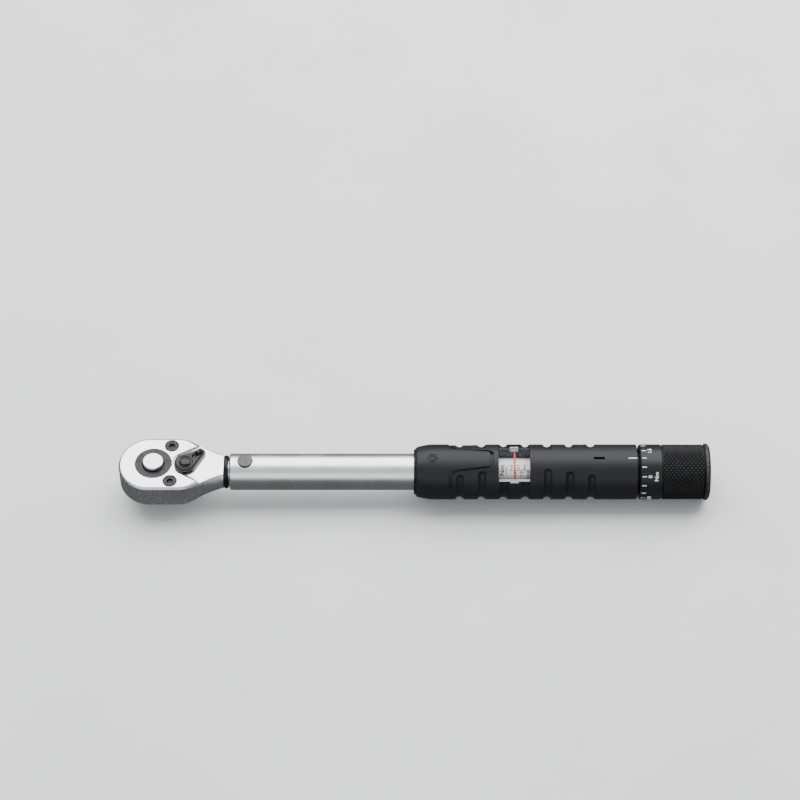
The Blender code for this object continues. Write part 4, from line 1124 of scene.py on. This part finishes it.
def strokes(name, lines, radius, material):
    """Straight graduation lines on a cylinder, as one piece: each is (stations, angles) of its edges."""
    raised = 0.02
    points, faces = [], []
    for stations, (start, end) in lines:
        count = max(2, 1 + math.ceil(abs(end - start) / 6))
        rim = [(x, -PRINT_SUNK) for x in stations] + [(x, raised) for x in reversed(stations)]
        faces += ring_faces(count, len(rim), len(points))
        for i in range(count):
            angle = start + (end - start) * i / (count - 1)
            points += [at_radius(x, angle, radius(x) + lift) for x, lift in rim]
    return make(name, points, faces, material, 30)


SCALE_BASELINE = 31.3  # the angle that the sleeve's graduations start from
SCALE_HALF_LINE = 0.12


def build_scale_print():
    """The sleeve's black lines and numbers: newton metres, by turns above and below the baseline."""
    black = ink("scale_black_print", (0.02, 0.02, 0.02))
    lines = [
        ((136.0, SLEEVE_REAR - 1.0), (SCALE_BASELINE - 0.9, SCALE_BASELINE + 0.9)),
        ((134.7, 134.98), (SCALE_BASELINE - 17, SCALE_BASELINE + 16)),
    ]
    marks = [("Nm", 1.75, 134.1, SCALE_BASELINE - 0.5)]
    for number in range(1, 9):
        value = TURN_VALUE * number
        at = scale_station(value)
        length, height, foot, clear = (-5.5, 0.95, 0.48, -8.5) if number % 2 else (5.5, 1.15, 0.58, 10.5)
        reach = SCALE_BASELINE + length
        lines.append(((at - SCALE_HALF_LINE, at + SCALE_HALF_LINE), sorted((SCALE_BASELINE, reach))))
        marks.append((f"{value:.1f}", height, at + foot, reach + clear))
    fit(strokes("scale_lines", lines, lambda x: SLEEVE_R, black), "carriage", "white_scale")
    fit(printed("scale_numbers", marks, SLEEVE_R, black), "carriage", "white_scale")


# ---------------------------------------------------------------- bush, knob and cap


def cross_hole(name, radius):
    """Cutter for the cross pin's hole, on the +Y side."""
    turns = [math.tau * i / 32 for i in range(32)]
    points = [(176.5 + radius * math.cos(a), y, radius * math.sin(a)) for y in (3.6, 7.6) for a in turns]
    return make(name, points, ring_faces(2, 32))


def build_bushing():
    profile = filleted([
        (7.9, 189.5), (8.2, 189.2, 0.1), (8.2, 188.4, 0.05), (7.5, 188.4, 0.05), (7.5, 187.1, 0.05),
        (8.2, 187.1, 0.05), (8.2, 185.5, 0.1), (8.6, 185.2, 0.1), (8.6, 183.3, 0.1), (5.6, 183.3, 0.05),
        (5.6, 167.5, 0.2), (3.3, 167.5, 0.2), (3.3, 189.5),
    ])
    dark = satin_black("bushing_black_anodised", base=(0.006, 0.006, 0.007))
    bush = lathe("rear_bush", profile, steps=96)
    carve(bush, [
        wedge("cut_bush_key", KEY_HOLE, (GRIP_CLOCK - 7.5, GRIP_CLOCK + 7.5), (4.6, 8.0), count=9),
        cross_hole("cut_bush_pin", 1.05),
    ])
    paint(bush, dark)
    fit(bush, "barrel", "black_anodised", "rear_bushing")


KNURLS_AROUND = 36
KNURL_LENGTH = 1.46
KNURL_SAMPLES = 6
KNURL_DEPTH = 0.42
KNURL_FLAT = 0.41  # how far from a groove, of the grooves' spacing, the slopes stop


def knurl_height(x, angle):
    """Pyramids between two sets of crossing V grooves, with their tips a little flattened."""
    along = (x - KNURL_FRONT) / KNURL_LENGTH
    around = angle / 360 * KNURLS_AROUND
    nearest = min(abs((around + s * along + 0.5) % 1 - 0.5) for s in (1, -1))
    return KNURL_DEPTH * min(KNURL_FLAT, nearest) / KNURL_FLAT


def build_knob_grip():
    """The knurled grip with the flange behind it."""
    step = KNURL_LENGTH / KNURL_SAMPLES
    count = int((FLANGE_FRONT - 0.4 - KNURL_FRONT - 0.3) / step)
    knurled = [KNURL_FRONT + 2 * step + step * i for i in range(count - 1)]
    stations = [KNURL_FRONT - 0.05, KNURL_FRONT + 0.2] + knurled + [FLANGE_FRONT - 0.1, FLANGE_FRONT]
    recess_r = 8.4
    rim = filleted([
        (KNOB_R - 0.75, FLANGE_FRONT), (FLANGE_R, FLANGE_FRONT + 0.12, 0.14),
        (FLANGE_R, KNOB_REAR - 0.75, 0.25), (FLANGE_R - 0.75, KNOB_REAR, 0.25), (recess_r, KNOB_REAR),
    ], 3)
    rim_radius = {}
    for radius, station in rim[1:]:
        station = max(station, stations[-1] + 0.012)
        stations.append(station)
        rim_radius[station] = radius
    first, last = knurled[0], knurled[-1]

    def outer(x, angle):
        if x in rim_radius:
            return rim_radius[x]
        if x < first or x > last:
            return KNOB_R - 0.55
        return KNOB_R - KNURL_DEPTH + knurl_height(x, angle)

    def inner(x, angle):
        return recess_r if x > KNOB_REAR - 1.5 else 6.2 if x > 200.1 else 3.3

    def slant(i, j):
        if not first <= stations[i] < last:
            return None
        row = round((stations[i] - KNURL_FRONT) / step)
        return 1 if (row - j) % KNURL_SAMPLES == 0 else 0

    columns = KNURLS_AROUND * KNURL_SAMPLES
    angles = [360 * i / columns for i in range(columns)]
    grip = shell("knob_knurl", stations, angles, outer, inner, knurled_black(), slant, smooth=18)
    fit(grip, "adjusting_knob", "black_anodised", "knob")


RING_CHAMFER = 0.55


def ring_radius(x):
    """The graduated ring's radius, which falls away over the chamfer at its front."""
    return KNOB_R - 0.45 * max(0.0, 1 - (x - KNOB_FRONT) / RING_CHAMFER)


def build_knob_ring():
    """The smooth graduated ring at the front of the knob."""
    rear, seat = KNURL_FRONT - 0.02, 190.3
    profile = filleted([
        (8.65, KNOB_FRONT), (ring_radius(KNOB_FRONT), KNOB_FRONT, 0.1),
        (KNOB_R, KNOB_FRONT + RING_CHAMFER, 0.2), (KNOB_R, KNURL_FRONT - 0.42, 0.06),
        (KNOB_R - 0.36, rear, 0.06), (3.3, rear), (3.3, seat), (8.65, seat),
    ])
    ring = lathe("knob_ring", profile, satin_black("knob_ring_black_anodised"), 160)
    fit(ring, "adjusting_knob", "black_anodised", "knob")


RING_DIVISIONS = 18
RING_ZERO = 47.5  # the zero line's angle with the wrench set as it is at rest
RING_TICKS = (186.35, 186.7, 188.1)


def build_ring_print():
    """The ring's white lines and numbers: a turn is 1.8 newton metres, with a line every 0.1."""
    white = ink("ring_white_enamel", (0.80, 0.80, 0.78))
    turn = math.degrees(0.17 / KNOB_R)
    lines, marks = [], []
    for number in range(RING_DIVISIONS):
        angle = RING_ZERO + 360 * number / RING_DIVISIONS
        lines.append((RING_TICKS, (angle - turn, angle + turn)))
        if number % 3 == 0:
            value = TURN_VALUE * number / RING_DIVISIONS
            marks.append((f"{value:.1f}" if number else "0", 1.45, 190.1, angle))
    marks.append(("Nm", 1.5, 192.55, RING_ZERO))
    fit(strokes("ring_lines", lines, ring_radius, white), "adjusting_knob", "white_scale")
    fit(printed("ring_numbers", marks, KNOB_R, white), "adjusting_knob", "white_scale")


def build_end_cap():
    front, rear = CAP[0].x, CAP[1].x
    profile = filleted([
        (0, rear - 0.35), (1.3, rear - 0.35), (1.6, rear - 0.05, 0.2), (5.5, rear - 0.05, 0.6),
        (7.6, rear - 0.2, 0.6), (8.2, rear - 0.75, 0.3), (8.2, front), (0, front),
    ])
    cap = lathe("knob_end_cap", profile, moulded_plastic("end_cap_plastic", roughness=0.38), 96)
    fit(cap, "adjusting_knob", "black_plastic", "end_cap")


# ---------------------------------------------------------------- springs, and CAD nodes kept as they are


def coil(name, space, upright, radius, wire, turns, material):
    """A compression spring with closed ends, filling the space between two stations, or two heights."""
    start, end = space
    sides = 14
    count = round(turns * 30)
    points = []
    for i in range(count + 1):
        turn = turns * i / count
        wound = min(turn, 1.0) ** 2 / 2 + max(0.0, min(turn, turns - 1) - 1)
        if turn > turns - 1:
            wound += 0.5 - (turns - turn) ** 2 / 2
        middle = start + wire + (end - start - 2 * wire) * (wound / (turns - 1))
        a = math.tau * turn
        for k in range(sides):
            b = math.tau * k / sides
            reach = radius + wire * math.cos(b)
            at, c, s = middle + wire * math.sin(b), reach * math.cos(a), reach * math.sin(a)
            points.append((c, s, at) if upright else (at, c, s))
    return make(name, points, ring_faces(count + 1, sides), material, 40)


MAIN_FRONT_GAP = 0.55  # room in front of the main coil for the plunger's stroke
REAR_GAP = 0.05


def build_springs():
    """The main spring and the button's spring."""
    low, high = span("main_spring")
    start, end = low.x + MAIN_FRONT_GAP, high.x - REAR_GAP
    steel = polished_steel("main_coil_steel", **SPRING_STEEL)
    main = coil("main_coil", (start, end), False, 4.4, 0.84, 11, steel)
    fit(main, "barrel", "bare_steel", "main_spring")
    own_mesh(main)
    low, high = span("button_spring")
    start, end = low.z - AXIS_Z, high.z - REAR_GAP - AXIS_Z
    steel = polished_steel("button_coil_steel", **SPRING_STEEL)
    small = coil("button_coil", (start, end), True, 3.5, 0.34, 3.5, steel)
    fit(small, "drive", "bare_steel", "button_spring")
    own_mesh(small)


KEPT = (
    (polished_steel, {}, ("detent_ball", "lever_detent_ball", "plunger")),
    (ground_steel, {"base": (0.5, 0.5, 0.51), "roughness": 0.28},
     ("ratchet_gear", "pawl", "tilt_block", "adjusting_spindle", "nut_key", "adjuster_nut", "spring_seat")),
    (polished_steel, SPRING_STEEL, ("lever_detent_spring",)),
    (black_steel, {}, ("cover_plate", "lever_snap_ring", "handle_key", "sleeve_clip", "knob_screw",
                       "knob_washer", "bushing_pin")),
    (ground_steel, {"base": (0.62, 0.46, 0.2), "roughness": 0.3}, ("thrust_washer",)),
    (rubber, {}, ("lock_ring",)),
)


def finish_kept_nodes():
    for finish, options, nodes in KEPT:
        for node in nodes:
            paint(frame["nodes"][node], finish(f"{node}_finish", **options))


# ---------------------------------------------------------------- stage

CAMERA_PITCH = math.radians(51.2)
CAMERA_DISTANCE = 1023.0
CAMERA_TARGET = (94.3, 21.44, 17.31)
LIGHT_TARGET = (100, 0, 0)
FLOOR_REST = 211.0  # the station of the flange that the wrench's rear end rests on
FLOOR_HALF = 1500
FLOOR_REAR = 260  # where the floor begins to reach back and then rise
FLOOR_CURVE = 900  # how far it reaches back beyond that, and how high it rises
FLOOR_LEVEL = 0.35  # the share of that reach that stays level


def build_floor():
    """A pale floor that touches the end of the square drive and the knob's flange."""
    slope = (AXIS_Z - FLANGE_R) / FLOOR_REST
    rows = [(-FLOOR_HALF, 0.0), (-300, 0.0), (FLOOR_REAR, 0.0)]
    for i in range(1, 41):
        share = i / 40
        rise = max(0.0, (share - FLOOR_LEVEL) / (1 - FLOOR_LEVEL))
        rows.append((FLOOR_REAR + FLOOR_CURVE * share, FLOOR_CURVE * rise ** 2.2))
    points, faces = [], []
    for y, lift in rows:
        points += [(x, y, slope * x - AXIS_Z - 0.02 + lift) for x in (-FLOOR_HALF, 0, FLOOR_HALF)]
    for r in range(len(rows) - 1):
        faces += [[a, a + 1, a + 4, a + 3] for a in (3 * r, 3 * r + 1)]
    paper = Surface("backdrop_paper", (0.80, 0.80, 0.79), roughness=0.85)
    tone = paper.noise(0.02, 3)
    paper.colour(paper.blend(paper.even(tone, 0, 1), (0.83, 0.83, 0.82), (0.88, 0.88, 0.87)))
    paper.bump(paper.noise(2.5, 3), 0.02, 0.2)
    floor = make("floor", points, faces, paper.done(), 60)
    if any(face.normal.z < 0 for face in floor.data.polygons):
        floor.data.flip_normals()
    floor.visible_glossy = False


def area_light(name, at, size, watts, tint=(1, 1, 1)):
    light = bpy.data.lights.new(name, "AREA")
    light.shape = "RECTANGLE"
    light.size, light.size_y = size[0] * MM, size[1] * MM
    light.energy = watts
    light.color = tint
    obj = bpy.data.objects.new(name, light)
    obj.location = (at[0] * MM, at[1] * MM, (at[2] + AXIS_Z) * MM)
    aim = Vector(LIGHT_TARGET) - Vector(at)
    obj.rotation_euler = aim.to_track_quat("-Z", "Y").to_euler()
    bpy.context.scene.collection.objects.link(obj)


def build_studio():
    """A sky that brightens upward, and three soft lights."""
    world = bpy.data.worlds.new("studio")
    bpy.context.scene.world = world
    world.use_nodes = True
    tree = world.node_tree
    split = tree.nodes.new("ShaderNodeSeparateXYZ")
    tree.links.new(tree.nodes.new("ShaderNodeTexCoord").outputs["Generated"], split.inputs["Vector"])
    ramp = tree.nodes.new("ShaderNodeValToRGB")
    stops = ((0.0, 0.20), (0.5, 0.16), (0.64, 0.34), (0.80, 0.85), (1.0, 1.0))
    while len(ramp.color_ramp.elements) < len(stops):
        ramp.color_ramp.elements.new(1.0)
    for element, (place, level) in zip(ramp.color_ramp.elements, stops):
        element.position = place
        element.color = (0.93 * level, 0.96 * level, level, 1)
    height = tree.nodes.new("ShaderNodeMapRange")
    height.inputs["From Min"].default_value = -1.0
    tree.links.new(split.outputs["Z"], height.inputs["Value"])
    tree.links.new(height.outputs["Result"], ramp.inputs["Fac"])
    tree.links.new(ramp.outputs["Color"], tree.nodes["Background"].inputs["Color"])
    tree.nodes["Background"].inputs["Strength"].default_value = 0.7
    area_light("key", (94, 420, 640), (1500, 900), 16.5)
    area_light("fill", (-160, -640, 330), (1200, 420), 2.0, (0.95, 0.97, 1.0))
    area_light("rim", (420, 160, 380), (260, 400), 0.6)


def build_camera():
    lens = bpy.data.cameras.new("camera")
    lens.lens = 120
    lens.sensor_width = 36
    lens.clip_start = 0.05
    lens.clip_end = 20
    camera = bpy.data.objects.new("camera", lens)
    x, y, z = CAMERA_TARGET
    back = CAMERA_DISTANCE * math.cos(CAMERA_PITCH)
    up = CAMERA_DISTANCE * math.sin(CAMERA_PITCH)
    camera.location = (x * MM, (y - back) * MM, (z + up + AXIS_Z) * MM)
    camera.rotation_euler = (math.pi / 2 - CAMERA_PITCH, 0, 0)
    bpy.context.scene.collection.objects.link(camera)
    bpy.context.scene.camera = camera


build_head()
build_hub_ring()
build_button()
build_head_screw(0)
build_head_screw(1)
build_lever()
build_neck_seal()
build_tube()
build_pivot_pin()
build_grip()
build_index_line()
build_grip_seal()
build_lens()
build_hairline()
build_scale_sleeve()
build_scale_print()
build_bushing()
build_knob_ring()
build_knob_grip()
build_ring_print()
build_end_cap()
build_springs()
finish_kept_nodes()
build_floor()
build_studio()
build_camera()

bpy.context.view_layer.update()
